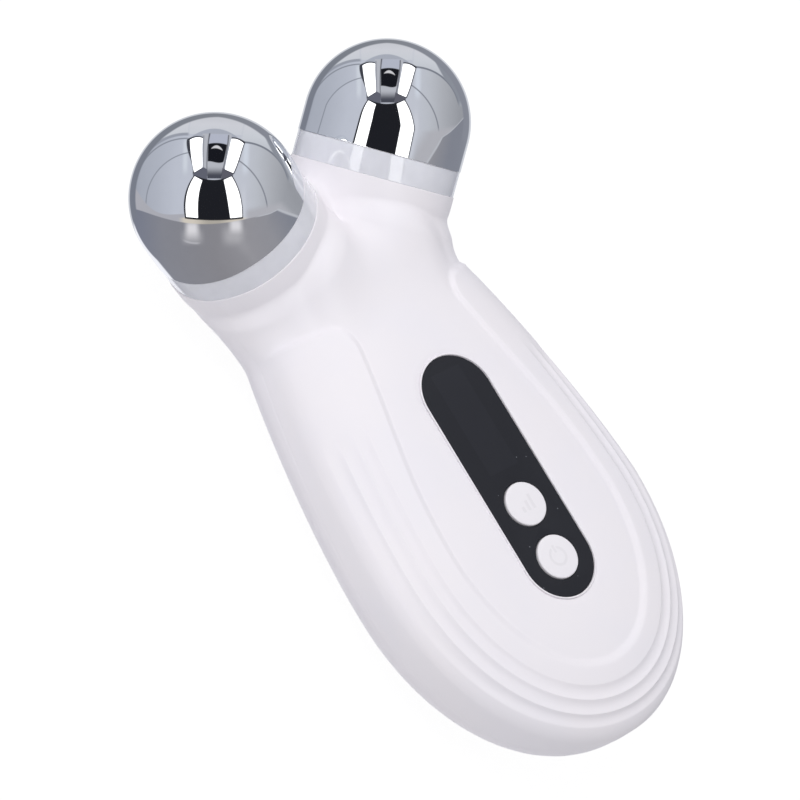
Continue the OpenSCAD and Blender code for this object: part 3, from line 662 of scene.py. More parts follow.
class Skin:
    """Outer face of the closed housing: a smooth union of an egg and two horns."""

    def __init__(self, grip, head):
        self.g = grip
        self.horn = Horn(head)
        self.horn_radius = head.horn_radius
        self.stations()

    def plan(self, y):
        """Distance from the widest place, and the egg's length and squareness on that side."""
        along = y - self.g.belly_y
        return (np.abs(along), np.where(along < 0, self.g.tail, self.g.head),
                np.where(along < 0, self.g.tail_power, self.g.head_power))

    def egg(self, x, y):
        along, length, m = self.plan(y)
        return (np.abs(x / self.g.half_width) ** m + (along / length) ** m) ** (1 / m)

    def widest_z(self, y):
        return self.g.mid_z - self.g.mid_lean * np.maximum(y - self.g.belly_y, 0)

    def below_mouth(self, p):
        return -((p - self.horn.mouth) @ self.horn.axis)

    def depth(self, p):
        """Signed depth: negative inside."""
        g, horn = self.g, self.horn
        q = np.stack([np.abs(p[..., 0]), p[..., 1], p[..., 2]], -1)
        x, y, z = q[..., 0], q[..., 1], q[..., 2]
        mid = self.widest_z(y)
        w = z - mid
        n = np.where(w > 0, g.front_power, g.back_power)
        h = np.where(w > 0, g.crown_z - mid, mid - g.belly_z)
        rho = (self.egg(x, y) ** n + (np.abs(w) / h) ** n) ** (1 / n)
        grip = soft_max((rho - 1) * h, z - g.flat_z, 0.8)
        grip = soft_max(grip, REST_Z - z, 0.4)
        below = self.below_mouth(q)
        front = ease((z - WEB_Z) / 5.0) * ease((WEB_HALF - x) / 7.0)
        grip = soft_max(grip, 6.8 - WEB_RISE * front - below, 5.5 - 1.2 * front)
        grip = soft_max(grip, y - EGG_END, 5.5)
        horns = []
        for side in (1.0, -1.0):
            v = np.stack([x * side, y, z], -1) - horn.centre
            s = -(v @ horn.axis)
            c = np.minimum(s, HORN_ROOT)
            radial = np.sqrt(np.maximum((v * v).sum(-1) - s * s, 0) + (s - c) ** 2)
            horns.append(radial - self.horn_radius)
        blend = 8.46 * ease(below / 7.0) + 4.5 * front * ease(below / 5.0) + 0.01
        return soft_min(grip, soft_min(horns[0], horns[1], 5.0), blend)

    def normal(self, p, e=0.02):
        steps = np.eye(3) * e
        return unit(np.stack([self.depth(p + s) - self.depth(p - s) for s in steps], -1))

    def inset(self, x, y):
        """Distance to the outline, seen in plan."""
        x, (along, length, m) = np.abs(x), self.plan(y)
        breadth = self.g.half_width
        r = np.maximum(self.egg(x, y), 1e-3)
        gx = (x / breadth) ** (m - 1) / breadth
        gy = (along / length) ** (m - 1) / length
        return (1 - r) / np.maximum(np.hypot(gx, gy) * r ** (1 - m), 1e-3)

    def tail_share(self, x, y):
        """1 at the tail, 0 at the sides and beyond them."""
        along = np.maximum(self.g.belly_y - y, 0)
        return along / (self.g.tail * np.maximum(self.egg(x, y), 1e-3))

    def crest_shift(self, x, y):
        return CREST_SHIFT * self.tail_share(x, y) ** 3.5

    def slope_inset(self, x, y):
        """Inset of the middle of the slope at the band's inner edge."""
        g = self.g
        return (g.band_inset + g.band_tail_shift * self.tail_share(x, y) ** 1.5
                + g.band_neck_shift * ease(y / 28.0))

    def relief(self, p):
        """Raised band and the flutes cut into it, over the plain skin."""
        g = self.g
        x, y, z = p[..., 0], p[..., 1], p[..., 2]
        q = self.inset(x, y)
        r = g.band_round
        end = g.band_top + BAND_END_SLANT * np.maximum(np.abs(x) - BAND_END_HALF, 0)
        within = r - np.hypot(np.maximum(r - (self.slope_inset(x, y) - q), 0),
                              np.maximum(r - (end - y), 0))
        slope = g.band_slope * (0.7 + 0.3 * self.tail_share(x, y))
        band = g.band_step * ease(within / slope + 0.5)
        q = q - self.crest_shift(x, y)
        flutes = np.zeros_like(q)
        for a, b in zip(CRESTS[:-1], CRESTS[1:]):
            u = np.clip((a - q) / (a - b), 0, 1)
            flutes = flutes + g.flute_depth * (1 - (2 * u - 1) ** 2)
        soft = g.crest_round
        flutes = np.sqrt(flutes * flutes + soft * soft) - soft
        return (band - flutes * ease((FLUTES_END - y) / 7.0)) * ease((z - RELIEF_LOW) / 6.0)

    def neck_section(self, u):
        horn, seam = self.horn, self.g.seam_z
        foot = np.array([0.0, NECK_Y, seam])
        ends = [foot, foot + [0, 5, 0], horn.mouth - 7 * horn.axis, horn.mouth]
        weights = [(1 - u) ** 3, 3 * (1 - u) ** 2 * u, 3 * (1 - u) * u * u, u ** 3]
        centre = sum(w * e for w, e in zip(weights, ends))
        ahead = unit(np.array([0.0, 1.0, 0.0]) * (1 - ease(u)) + horn.axis * ease(u))
        out = unit(np.cross(ahead, [0.0, 0.0, 1.0]))
        return centre, out, np.cross(out, ahead), u

    def middle(self, section, v):
        """Points of a section on the middle plane, v above its centre, and how far out they are."""
        centre, out, up, _ = section
        u = -(centre[0] + v * up[0]) / out[0]
        return centre + np.multiply.outer(u, out) + np.multiply.outer(v, up), u

    def stations(self):
        """Sections from the tail round to the horns' mouths."""
        tries = np.linspace(0, 9, 37)
        self.fork = float(halved(0.5, 1.0, 18, lambda u: self.depth(
            self.middle(self.neck_section(u), tries)[0]).min() < 0))
        points, out = self.middle(self.neck_section(self.fork), tries)
        best = int(self.depth(points).argmin())
        self.fork_v = tries[best]
        self.fork_angle = math.degrees(math.atan2(tries[best], out[best]))
        belly, seam, rows = self.g.belly_y, self.g.seam_z, self.g.rows
        up = np.array([0.0, 0.0, 1.0])
        made = []
        for a in np.radians(np.linspace(-90, 0, rows, endpoint=False)):
            made.append((np.array([0, belly, seam]), np.array([math.cos(a), math.sin(a), 0]), up,
                         -1.0))
        along = [np.linspace(belly, 26.5, rows - 4), np.arange(27, 36.6, 0.25),
                 [37.0, 37.5, NECK_Y]]
        for y in np.concatenate(along):
            made.append((np.array([0, y, seam]), np.array([1.0, 0, 0]), up, 0.0))
        self.last_plan = made[-1]
        self.fork_row = len(made) + rows - 1
        share_up = np.linspace(0, 1, rows + 1)[1:]
        made += [self.neck_section(self.fork * (1 - (1 - t) ** 1.5)) for t in share_up]
        near = 1 - np.array([0.5, 0.35, 0.25, 0.17, 0.11, 0.07, 0.04, 0.015, 0.0]) / 21.0
        steps = np.linspace(self.fork, near[0], 16)[1:-1]
        made += [self.neck_section(u) for u in (*steps, *near)]
        self.sections = made

    def middle_angle(self, section, way):
        """Angle in a section at which the skin meets the middle plane."""
        u = section[3]
        if u <= 0:
            return 90.0 * way
        if u >= self.fork - 1e-6:
            return self.fork_angle if way > 0 else self.fork_angle - 360
        v = halved(self.fork_v * u / self.fork, 26.0 * way, 23,
                   lambda v: self.depth(self.middle(section, v)[0]) < 0)
        angle = math.degrees(math.atan2(v, self.middle(section, v)[1]))
        return angle - 360 if way < 0 < angle else angle

    def plan_angles(self, section):
        """Front columns of a section that stands upright on the plan."""
        g, n = self.g, self.g.front_power
        centre, out = section[:2]

        def within(reach):
            x, y = (centre + np.multiply.outer(reach, out))[:, :2].T
            lines = np.stack([np.ones_like(x), self.slope_inset(x, y), self.crest_shift(x, y)], -1)
            return self.inset(x, y) > (SKIN_COLUMNS * lines).sum(-1)

        low = np.zeros(len(SKIN_COLUMNS))
        m = halved(low, low + RAY, 29, within)
        r = np.concatenate([np.linspace(0, 1, 14)[:-1] * m[0], m])
        p = centre + np.multiply.outer(r, out)
        mid = self.widest_z(p[:, 1])
        e = np.minimum(self.egg(p[:, 0], p[:, 1]), 1)
        z = mid + (g.crown_z - mid) * (1 - e ** n) ** (1 / n)
        angles = np.maximum(np.degrees(np.arctan2(z - g.seam_z, r)), 5.0)
        side = angles[-1] * np.linspace(1, 0, 6)[1:-1]
        return np.concatenate([angles, side, [0.9, 0.6, 0.4, 0.25, 0.12, 0.0]])

    def front_angles(self, section, neck_angles):
        if section[3] <= 0:
            return self.plan_angles(section)
        top = self.middle_angle(section, 1)
        shares = neck_angles / 90
        even = np.linspace(1, 0, len(shares))
        return top * (shares + (even - shares) * ease(section[3]) * 0.7)

    def rear_angles(self, section, _):
        low = self.middle_angle(section, -1)
        side = np.array([0.0, 0.12, 0.25, 0.4, 0.6, 0.9]) / 90
        return low * np.concatenate([side, np.linspace(side[-1], 1, 40)[1:]])

    def cast(self, centre, directions):
        """Where rays from a section's centre leave the housing."""
        inward = directions[:, 0] < -1e-4
        limit = np.where(inward, -centre[0] / np.where(inward, directions[:, 0], -1.0), RAY)
        far = halved(np.zeros(len(directions)), np.minimum(limit, RAY), 26,
                     lambda m: self.depth(centre + directions * m[:, None]) < 0)
        return centre + directions * far[:, None]

    def half(self, front):
        """Outer and inner points (rows, columns, 3) of one side of a housing."""
        neck = self.plan_angles(self.last_plan)
        angles_of = self.front_angles if front else self.rear_angles
        seam_column, pole_column = (-1, 0) if front else (0, -1)
        outer, inner = [], []
        last = len(self.sections) - 1
        for row, section in enumerate(self.sections):
            centre, out, up, _ = section
            a = np.radians(angles_of(section, neck))
            rays = np.multiply.outer(np.cos(a), out) + np.multiply.outer(np.sin(a), up)
            p = self.cast(centre, rays)
            flat = np.zeros(len(a), bool)
            flat[pole_column] = row <= self.fork_row
            if row == 0:
                flat[:] = True
            p[flat, 0] = 0
            n = self.normal(p)
            n[flat, 0] = 0
            if row == last:
                n -= np.multiply.outer(n @ self.horn.axis, self.horn.axis)
            n = unit(n)
            along_seam = np.linalg.norm(p - p[seam_column], axis=1)
            lift = self.relief(p) - self.g.seam_gap * (1 - ease(along_seam / 0.3))
            edge = np.clip(self.below_mouth(p) / MOUTH_REACH, 0, 1)
            lift = lift - MOUTH_DROP * (1 - np.sqrt(edge * (2 - edge)))
            outer.append(p + n * lift[:, None])
            inner.append(p - n * self.g.wall)
        return np.array(outer), np.array(inner)

    def housing(self, name, front):
        """Closed housing: both halves with outer face, lining and rims."""
        outer, inner = self.half(front)
        rows, columns = outer.shape[:2]
        count = rows * columns
        right = np.vstack([outer.reshape(-1, 3), inner.reshape(-1, 3)])
        index = np.arange(count).reshape(rows, columns)
        quads = np.stack([index[:-1, :-1], index[1:, :-1], index[1:, 1:], index[:-1, 1:]],
                         -1).reshape(-1, 4)
        seam, pole = (columns - 1, 0) if front else (0, columns - 1)

        def rim(line, flip):
            a, b = line[:-1], line[1:]
            strip = np.stack([a, b, b + count, a + count], -1)
            return strip[:, ::-1] if flip else strip

        faces = np.vstack([quads, quads[:, ::-1] + count, rim(index[:, seam], front),
                           rim(index[self.fork_row:, pole], not front), rim(index[-1], True)])
        left = right * [-1, 1, 1]
        both = np.vstack([faces, faces[:, ::-1] + 2 * count])
        return mesh_object(name, to_row(np.vstack([right, left])), both.tolist())


# ---- pieces


# Screw bosses, hooks on either side, and the charging socket, as places in the design frame
BOSSES = ((13, -25), (-13, -25), (13, 18), (-13, 18))
BOSS_RADIUS, SCREW_HOLE = 2.2, 0.85
HOOKS = ((23.4, -12), (23.3, 1))
SOCKET_Z, SOCKET_OPENING = -16.6, (9.4, 3.72)
RIB = 0.6
# Display window in the front housing: half its width, its middle and half its length
WINDOW = (3.4, 10.6, 9.7)


class TONER_OT_front_housing(bpy.types.Operator):
    """Front housing: skin with band and flutes, panel recess, bosses and hooks"""
    bl_idname = "toner.front_housing"
    bl_label = "Front Housing"

    def execute(self, context):
        panel = sizes("panel")
        shell = Skin(sizes("grip"), sizes("head")).housing("front_housing_skin", True)
        length, width = panel.length, panel.width
        added = [prism(stadium(length + 4, width + 4), -3.0, -1.0)]
        taken = [prism(stadium(length + PANEL_GAP, width + PANEL_GAP), -1.2, 3.0),
                 prism(slab(-WINDOW[0], *WINDOW), -5.0, -1.0)]
        for y in (panel.mode_y, panel.power_y):
            taken.append(prism(disc(panel.button_radius + panel.gap, 0, y), -5.0, -1.0))
        for x, y in BOSSES:
            added.append(prism(disc(BOSS_RADIUS, x, y, 40), -8.4, -2.2))
            taken.append(prism(disc(SCREW_HOLE, x, y, 32), -9.0, -3.9))
        for x, y in HOOKS:
            for side in (-1, 1):
                added.append(prism(slab(side * x, side * (x + 1.3), y, 3), -16.4, -4.8))
                added.append(prism(slab(side * (x + 1), side * (x + 1.9), y, 2), -16.39, -15.3))
        finished(carved(shell, added, taken), "shell_white", BODY, ["front_housing"], 30.0)
        return {"FINISHED"}


class TONER_OT_rear_housing(bpy.types.Operator):
    """Rear housing: skin, ribs under the battery and the charge board, socket slot"""
    bl_idname = "toner.rear_housing"
    bl_label = "Rear Housing"

    def execute(self, context):
        shell = Skin(sizes("grip"), sizes("head")).housing("rear_housing_skin", False)
        across, along = [[0, 0, 1], [1, 0, 0], [0, 1, 0]], [[1, 0, 0], [0, 0, 1], [0, 1, 0]]
        rib = [(-38.0, -21.7), (-28.0, -25.3), (-28.0, -19.23), (-38.0, -19.23)]
        added = [prism(slab(-9, 9, y, RIB), -26.2, -24.9) for y in (-20, -8, 4)]
        added += [prism(rib, x - RIB, x + RIB, across) for x in (-5, 5)]
        slot = stadium(*SOCKET_OPENING)[::-1, ::-1] + [0, SOCKET_Z]
        taken = [prism(slot, -48.0, -40.0, along)]
        taken += [prism(slab(side * (x - 0.5), side * (x + 2.2), y, 2.5), -16.8, -15.0)
                  for x, y in HOOKS for side in (-1, 1)]
        finished(carved(shell, added, taken), "shell_white", BODY, ["rear_housing"], 30.0)
        return {"FINISHED"}


def add_loop(curve, points):
    """Closed polyline in a curve."""
    spline = curve.splines.new("POLY")
    spline.points.add(len(points) - 1)
    for point, place in zip(spline.points, points):
        point.co = (*place, 1)
    spline.use_cyclic_u = True


def flat_plate(name, outlines, low, high, bevel):
    """Plate over closed outlines, the inner ones as holes, with rounded edges."""
    curve = bpy.data.curves.new(name, "CURVE")
    curve.dimensions = "2D"
    curve.fill_mode = "BOTH"
    for outline in outlines:
        add_loop(curve, [(x, y, 0) for x, y in outline])
    curve.extrude = (high - low) / 2 - bevel
    curve.bevel_depth = bevel
    curve.bevel_resolution = 3
    curve.offset = -bevel
    plate = baked(linked(name + "_rough", curve), name)
    plate.data.transform(Matrix.Scale(MM, 4) @ Matrix.Translation(
        Vector((0, -CENTRE_Y, (low + high) / 2 - REST_Z))))
    weld(plate.data)
    return plate


class TONER_OT_control_panel(bpy.types.Operator):
    """Black stadium-shaped panel with two button holes, and the moulded lip round it"""
    bl_idname = "toner.control_panel"
    bl_label = "Control Panel"

    def execute(self, context):
        panel = sizes("panel")
        outlines = [stadium(panel.length, panel.width)]
        outlines += [disc(panel.button_radius + panel.gap, 0, y, 96)
                     for y in (panel.mode_y, panel.power_y)]
        plate = flat_plate("panel_plate", outlines, -panel.thickness, 0.0, 0.12)
        finished(plate, "panel_black", BODY, ["control_panel"])
        swept_lip(panel)
        return {"FINISHED"}


def grown(name, holder, slot, numbers, shape):
    """The holder with a geometry tree that ends in real, coated faces.

    numbers: kind and value of each named input; shape: draws the tree from its inputs.
    """
    group = bpy.data.node_groups.new(name, "GeometryNodeTree")
    tree = Tree(group)
    sockets = {}
    for way, key, kind in (("INPUT", "Geometry", "Geometry"),
                           *(("INPUT", key, kind) for key, (kind, _) in numbers.items()),
                           ("OUTPUT", "Geometry", "Geometry")):
        sockets[key] = group.interface.new_socket(key, in_out=way,
                                                  socket_type="NodeSocket" + kind)
    drawn = shape(tree, tree.node("NodeGroupInput").outputs)
    real = tree.node("GeometryNodeRealizeInstances", inputs={"Geometry": drawn})
    coat = tree.node("GeometryNodeSetMaterial", inputs={
        "Geometry": real.outputs["Geometry"], "Material": finish(slot)})
    tree.node("NodeGroupOutput", inputs={0: coat.outputs["Geometry"]})
    step = holder.modifiers.new(name, "NODES")
    step.node_group = group
    for key, (_, value) in numbers.items():
        step[sockets[key].identifier] = value
    return holder


# Gap between the panel and its recess, and height of the lip's middle
PANEL_GAP, LIP_Z = 0.1, 0.09


def swept_lip(panel):
    """Thin rounded lip that follows the panel's edge, swept by a geometry tree."""
    path = bpy.data.curves.new("lip_path", "CURVE")
    path.dimensions = "3D"
    spare = PANEL_GAP + panel.lip
    outline = stadium(panel.length + spare, panel.width + spare, 64)
    add_loop(path, to_row([(x, y, LIP_Z) for x, y in outline]))

    def shape(tree, given):
        ring = tree.node("GeometryNodeCurvePrimitiveCircle", inputs={
            "Resolution": 12, "Radius": tree.num(given["Width"]) * 0.5})
        return tree.node("GeometryNodeCurveToMesh", inputs={
            "Curve": given["Geometry"], "Profile Curve": ring.outputs["Curve"]}).outputs["Mesh"]

    lip = grown("Panel lip", linked("lip_path", path), "shell_white",
                {"Width": ("Float", panel.lip * MM)}, shape)
    finished(baked(lip, "panel_lip"), "shell_white", BODY, [])


class TONER_OT_buttons(bpy.types.Operator):
    """Mode and power buttons: low domed caps with a retaining flange and a stem"""
    bl_idname = "toner.buttons"
    bl_label = "Buttons"

    def execute(self, context):
        panel = sizes("panel")
        r, rise = panel.button_radius, panel.rise
        # Cap, flange that holds it under the panel, and stem
        profile = [(0, rise, 0), (r * 0.6, rise - 0.02, 0), (r, rise - 0.08, 0.28), (r, -3.15, 0),
                   (4.7, -3.15, 0.1), (4.7, -4.0, 0.1), (1.6, -4.0, 0), (1.6, -4.6, 0),
                   (0, -4.6, 0)]
        for name, y in (("mode_button", panel.mode_y), ("power_button", panel.power_y)):
            cap = turned(name + "_cap", rounded_profile(profile)[::-1],
                         np.array([0, y, 0]), np.eye(3), 96)
            finished(cap, "button_white", name, [name])
        return {"FINISHED"}


class TONER_OT_light_rings(bpy.types.Operator):
    """Frosted collars between the horns and the electrodes, with their lamps"""
    bl_idname = "toner.light_rings"
    bl_label = "Light Rings"

    def execute(self, context):
        head = sizes("head")
        horn = Horn(head)
        r, skirt, foot = head.ring_radius, head.skirt, horn.foot
        # Collar that shows, plug in the horn's mouth, bore, and the seat of the skirt
        profile = rounded_profile([
            (r, -skirt, 0.12), (r, -foot, 0.12), (11.4, -foot, 0), (11.4, -foot - 1.6, 0.2),
            (9.6, -foot - 1.6, 0.2), (9.6, -8.6, 0), (11.5, -8.6, 0), (11.5, -2.5, 0.1),
            (12.7, -2.5, 0.1), (12.7, -skirt, 0)])
        for name, centre, axes in horn.both():
            ring = turned(name + "_collar", profile, centre, axes)
            finished(ring, "ring_clear", BODY, [name + "_light_ring"])
            lamps(name, centre, axes)
        return {"FINISHED"}


# Lamps of a ring: their circle's radius, their place along the horn and their size
LAMP_REACH, LAMP_SEAT, LAMP_SIZE = 10.1, -7.35, (1.4 * MM, 2.0 * MM, 0.9 * MM)


def lamps(name, centre, axes):
    """Eight small lamps round a ring board, set out by a geometry tree."""

    def shape(tree, given):
        circle = tree.node("GeometryNodeMeshCircle", inputs={
            "Vertices": given["Count"], "Radius": given["Radius"]})
        one = tree.node("GeometryNodeMeshCube", inputs={"Size": LAMP_SIZE})
        spot = tree.node("GeometryNodeInputPosition")
        aim = tree.node("FunctionNodeAlignRotationToVector", {"axis": "X"},
                        {"Vector": spot.outputs[0]})
        return tree.node("GeometryNodeInstanceOnPoints", inputs={
            "Points": circle.outputs["Mesh"], "Instance": one.outputs["Mesh"],
            "Rotation": aim.outputs["Rotation"]}).outputs["Instances"]

    holder = linked("lamp_points", bpy.data.meshes.new("lamp_points"))
    made = baked(grown("Ring lamps", holder, "led_lens",
                       {"Count": ("Int", 8), "Radius": ("Float", LAMP_REACH * MM)}, shape),
                 name + "_lamps")
    turn = Matrix([list(row) for row in axes]).to_4x4()
    seat = to_row(centre + axes @ np.array([0, 0, LAMP_SEAT]))
    made.data.transform(Matrix.Translation(Vector(seat)) @ turn)
    finished(made, "led_lens", BODY, [name + "_ring_leds"])


# Wall of a dome, and radius of the screw post inside it
DOME_WALL, POST = 1.2, 3.0


class TONER_OT_electrodes(bpy.types.Operator):
    """Polished domes with a short skirt, hollow, with a screw post inside"""
    bl_idname = "toner.electrodes"
    bl_label = "Electrodes"

    def execute(self, context):
        head = sizes("head")
        r, skirt = head.dome_radius, head.skirt
        inside = r - DOME_WALL
        dome = [(r * math.sin(a), r * math.cos(a)) for a in np.linspace(0, math.pi / 2, 64)]
        edge = rounded_profile([(r, 0, 0), (r, -skirt, 0.16), (inside, -skirt, 0.16),
                                (inside, 0, 0)])
        post = math.acos(POST / inside)
        lining = [(inside * math.cos(a), inside * math.sin(a)) for a in np.linspace(0, post, 32)]
        core = [(POST, -0.5), (1.25, -0.5), (1.25, 7.5), (0, 7.5)]
        profile = np.array([*dome, *edge[1:-1], *lining, *core])
        for name, centre, axes in Horn(head).both():
            piece = turned(name + "_dome", profile, centre, axes, 192)
            finished(piece, "electrode_chrome", BODY, [name + "_electrode"], 40.0)
        return {"FINISHED"}


class TONER_OT_inner_parts(bpy.types.Operator):
    """Finishes of the parts that the frame already holds: boards, cell, switches and leads"""
    bl_idname = "toner.inner_parts"
    bl_label = "Inner Parts"

    def execute(self, context):
        slots = {part["node"]: part["material_slot"] for part in frame["record"]["subparts"]}
        for name, node in frame["nodes"].items():
            if not node.material_slots:
                node.data.materials.append(None)
            for slot in node.material_slots:
                slot.material = finish(slots[name])
        return {"FINISHED"}


# ---- studio

# Right, down and forward as the camera sees them
VIEW = ((0.713686, -0.512852, 0.477112), (-0.348708, -0.850862, -0.392985),
        (0.607499, 0.114095, -0.786083))
CAMERA_PLACE = (-0.515856, -0.091369, 0.680826)
# Share of the light that the polish returns, and strength of the bright bars in it (1 is white)
POLISH, BARS = 0.87, 2.6
# Half the side of the floor in metres, and the point at which the lamps aim
GROUND, MIDDLE = 6.0, Vector((0.0, 0.0, 0.015))


def tone(*levels):
    """Light for which a polished face shows these display levels."""
    return tuple(((k / 255 + 0.055) / 1.055) ** 2.4 / POLISH for k in levels)


def line_at(t, run, of, degree=3):
    """Where a line's coordinate `of` (0 across, 1 down) is when the other one is t.

    run: places u, v, u, v on the line in thousandths, or one number if it lies straight.
    """
    if not isinstance(run, tuple):
        return run / 1000
    places = np.array(run).reshape(-1, 2) / 1000
    terms = np.polyfit(places[:, 1 - of], places[:, of], min(len(places) - 1, degree))
    return reduce(lambda total, term: t * total + term, terms.tolist())


def patch(u, v, left, right, top, bottom, soft=0.006):
    """Mask between two side lines and two cross lines, each a run that line_at takes."""
    left, right = (line_at(v, run, 0) for run in (left, right))
    top, bottom = (line_at(u, run, 1) for run in (top, bottom))
    edges = [reach.step(-soft, soft) for reach in (u - left, right - u, v - top, bottom - v)]
    return reduce(Num.__mul__, edges)


def studio_world(world, strength):
    """White to the camera, even light to matt faces, and a light tent to polished ones."""
    s = Shader(world)
    aim = s.axes(s.node("ShaderNodeTexCoord").outputs["Generated"])
    right, down, ahead = (aim[0] * a + aim[1] * b + aim[2] * c for a, b, c in VIEW)
    # Mirror-ball coordinates: what a polished ball shows at u across and v down its disc
    half = ((1.0 - ahead) * 0.5).most(0.0001).root() * 2.0
    u, v = right / half, down / half
    far = (u * u + v * v).root()

    def ramp(number, low, high, *stops):
        """Tones (place, red, green, blue) along a number that runs from low to high."""
        node = s.node("ShaderNodeValToRGB", {"stops": [
            ((place - low) / (high - low), tone(*levels)) for place, *levels in stops]},
            {"Fac": (number - low) / (high - low)})
        return node.outputs["Color"]

    def far_from(cu, cv):
        du, dv = u - cu, v - cv
        return (du * du + dv * dv).root()

    def beyond(cu, cv, radius, soft=0.008):
        """Mask of all that lies outside a circle."""
        return (far_from(cu, cv) - radius).step(-soft, soft)

    def arc(cu, cv, radius, width):
        return far_from(cu, cv).near(radius, width * 0.3, width * 0.8)

    def strip(number, middle, width, soft):
        return number.near(middle, width * 0.5 - soft, width * 0.5 + soft)

    def lay(mask, *levels):
        """Lays a tone over the tent where the mask is 1."""
        nonlocal tent
        tent = s.mix(mask, tent, tone(*levels))

    # Tent walls, with a sheen beside the openings
    tent = ramp(u, -1.0, 1.0, (-0.95, 150, 155, 167), (-0.83, 166, 170, 181),
                (-0.64, 176, 180, 191), (-0.45, 187, 191, 202), (-0.34, 189, 193, 204),
                (0.36, 192, 195, 204), (0.5, 185, 188, 195), (0.66, 171, 173, 179),
                (0.86, 150, 152, 158))
    tall = v.step(-0.70, -0.62) * v.fall(-0.36, -0.22)
    lay(strip(u, -0.325, 0.05, 0.02) * tall * 0.8, 208, 213, 221)
    lay(strip(u, 0.36, 0.06, 0.025) * tall * 0.8, 208, 214, 224)
    lay(strip(u, 0.345, 0.05, 0.02) * v.step(-0.2, 0.0) * 0.5, 205, 208, 216)
    lay(beyond(-0.194, 0.071, 0.588, 0.03) * u.fall(-0.5, -0.3) * 0.25, 168, 173, 184)
    # Seams of the tent
    lay(arc(-0.194, 0.071, 0.588, 0.012) * u.fall(-0.30, -0.27) * v.fall(0.02, 0.10) * 0.9,
        138, 142, 152)
    lay(arc(-0.106, 0.191, 0.727, 0.014) * (-u).fall(-0.285, -0.27) * v.fall(0.10, 0.14) * 0.9,
        128, 131, 140)
    lay(arc(-0.328, -0.084, 0.591, 0.014) * u.fall(-0.32, -0.28) * v.fall(-0.25, -0.05) * 0.9,
        132, 136, 146)
    # Ceiling over the walls, darker towards its joint
    left_side, right_side = u.fall(-0.32, -0.28), u.step(0.28, 0.32)
    ceiling = beyond(-0.331, -0.137, 0.586) * left_side * v.fall(-0.25, -0.1)
    ceiling = ceiling.most(beyond(0.331, -0.116, 0.526) * right_side * v.fall(-0.3, -0.2))
    ceiling = ceiling.most((-0.725 - v).step(-0.006, 0.006) * (1.0 - left_side.most(right_side)))
    tent = s.mix(ceiling, tent, ramp(v, -1.0, -0.5, (-0.95, 196, 197, 203), (-0.84, 205, 206, 212),
                                     (-0.72, 201, 204, 210), (-0.55, 190, 193, 200)))
    lay(arc(-0.331, -0.137, 0.588, 0.030) * left_side * v.fall(-0.2, -0.05) * 0.9, 146, 150, 161)
    lay(arc(0.331, -0.116, 0.526, 0.020) * right_side * v.fall(-0.3, -0.2), 122, 126, 136)
    lay((u - (v + 0.72) * 0.59 - 0.55).step(-0.012, 0.012) * ceiling * right_side, 138, 142, 151)
    # Skirting and table
    skirting = line_at(u, (-870, -100, -800, 50, -700, 120, -600, 165, -500, 190, -400, 200,
                           -200, 215), 1)
    lay((v - skirting).step(-0.006, 0.006) * u.fall(-0.36, -0.3), 171, 171, 178)
    lay((v + u * 0.25).step(0.2, 0.29) * u.step(0.34, 0.42), 175, 175, 181)
    rise = (u - 0.62).most(0.0)
    horizon = line_at(u, (-780, 140, -700, 190, -620, 225, -500, 255, -400, 270, -300, 285, 0, 308,
                          300, 280, 500, 215, 600, 180, 700, 155, 800, 135), 1, 4)
    cream = s.mix(abs(u).step(0.05, 0.25), tone(172, 166, 156), tone(208, 200, 187))
    tent = s.mix((v - 0.232).step(-0.01, 0.01) * abs(u).fall(0.32, 0.42), tent, cream)
    table = ramp(u, -1.0, 1.0, (-0.95, 118, 122, 136), (-0.8, 124, 127, 139),
                 (-0.6, 132, 133, 141), (0.0, 134, 133, 138), (0.4, 146, 145, 150),
                 (0.6, 143, 143, 149), (0.78, 128, 131, 141))
    for place, down_by, wide, high, gain in (
            (-0.25, 0.36, 0.075, 0.12, 1.0), (0.255, 0.325, 0.07, 0.105, 1.0),
            (-0.25, 0.45, 0.11, 0.10, 0.38), (0.225, 0.44, 0.12, 0.14, 0.32)):
        du, dv = abs(u - place) / wide, abs(v - down_by) / high
        table = s.mix(du.fall(0.3, 1.5) * dv.fall(0.1, 1.2) * gain, table, tone(217, 215, 218))
    streak = arc(-0.2, 0.18, 0.345, 0.02) * u.near(-0.26, 0.05, 0.12) * v.step(0.3, 0.4)
    table = s.mix(streak * 0.5, table, tone(196, 195, 200))
    below = v - (horizon - rise * rise * 2.5)
    tent = s.mix(below.step(-0.006, 0.006), tent, table)
    lay(strip(below, 0.004, 0.012, 0.004) * u.step(0.45, 0.55), 184, 186, 192)
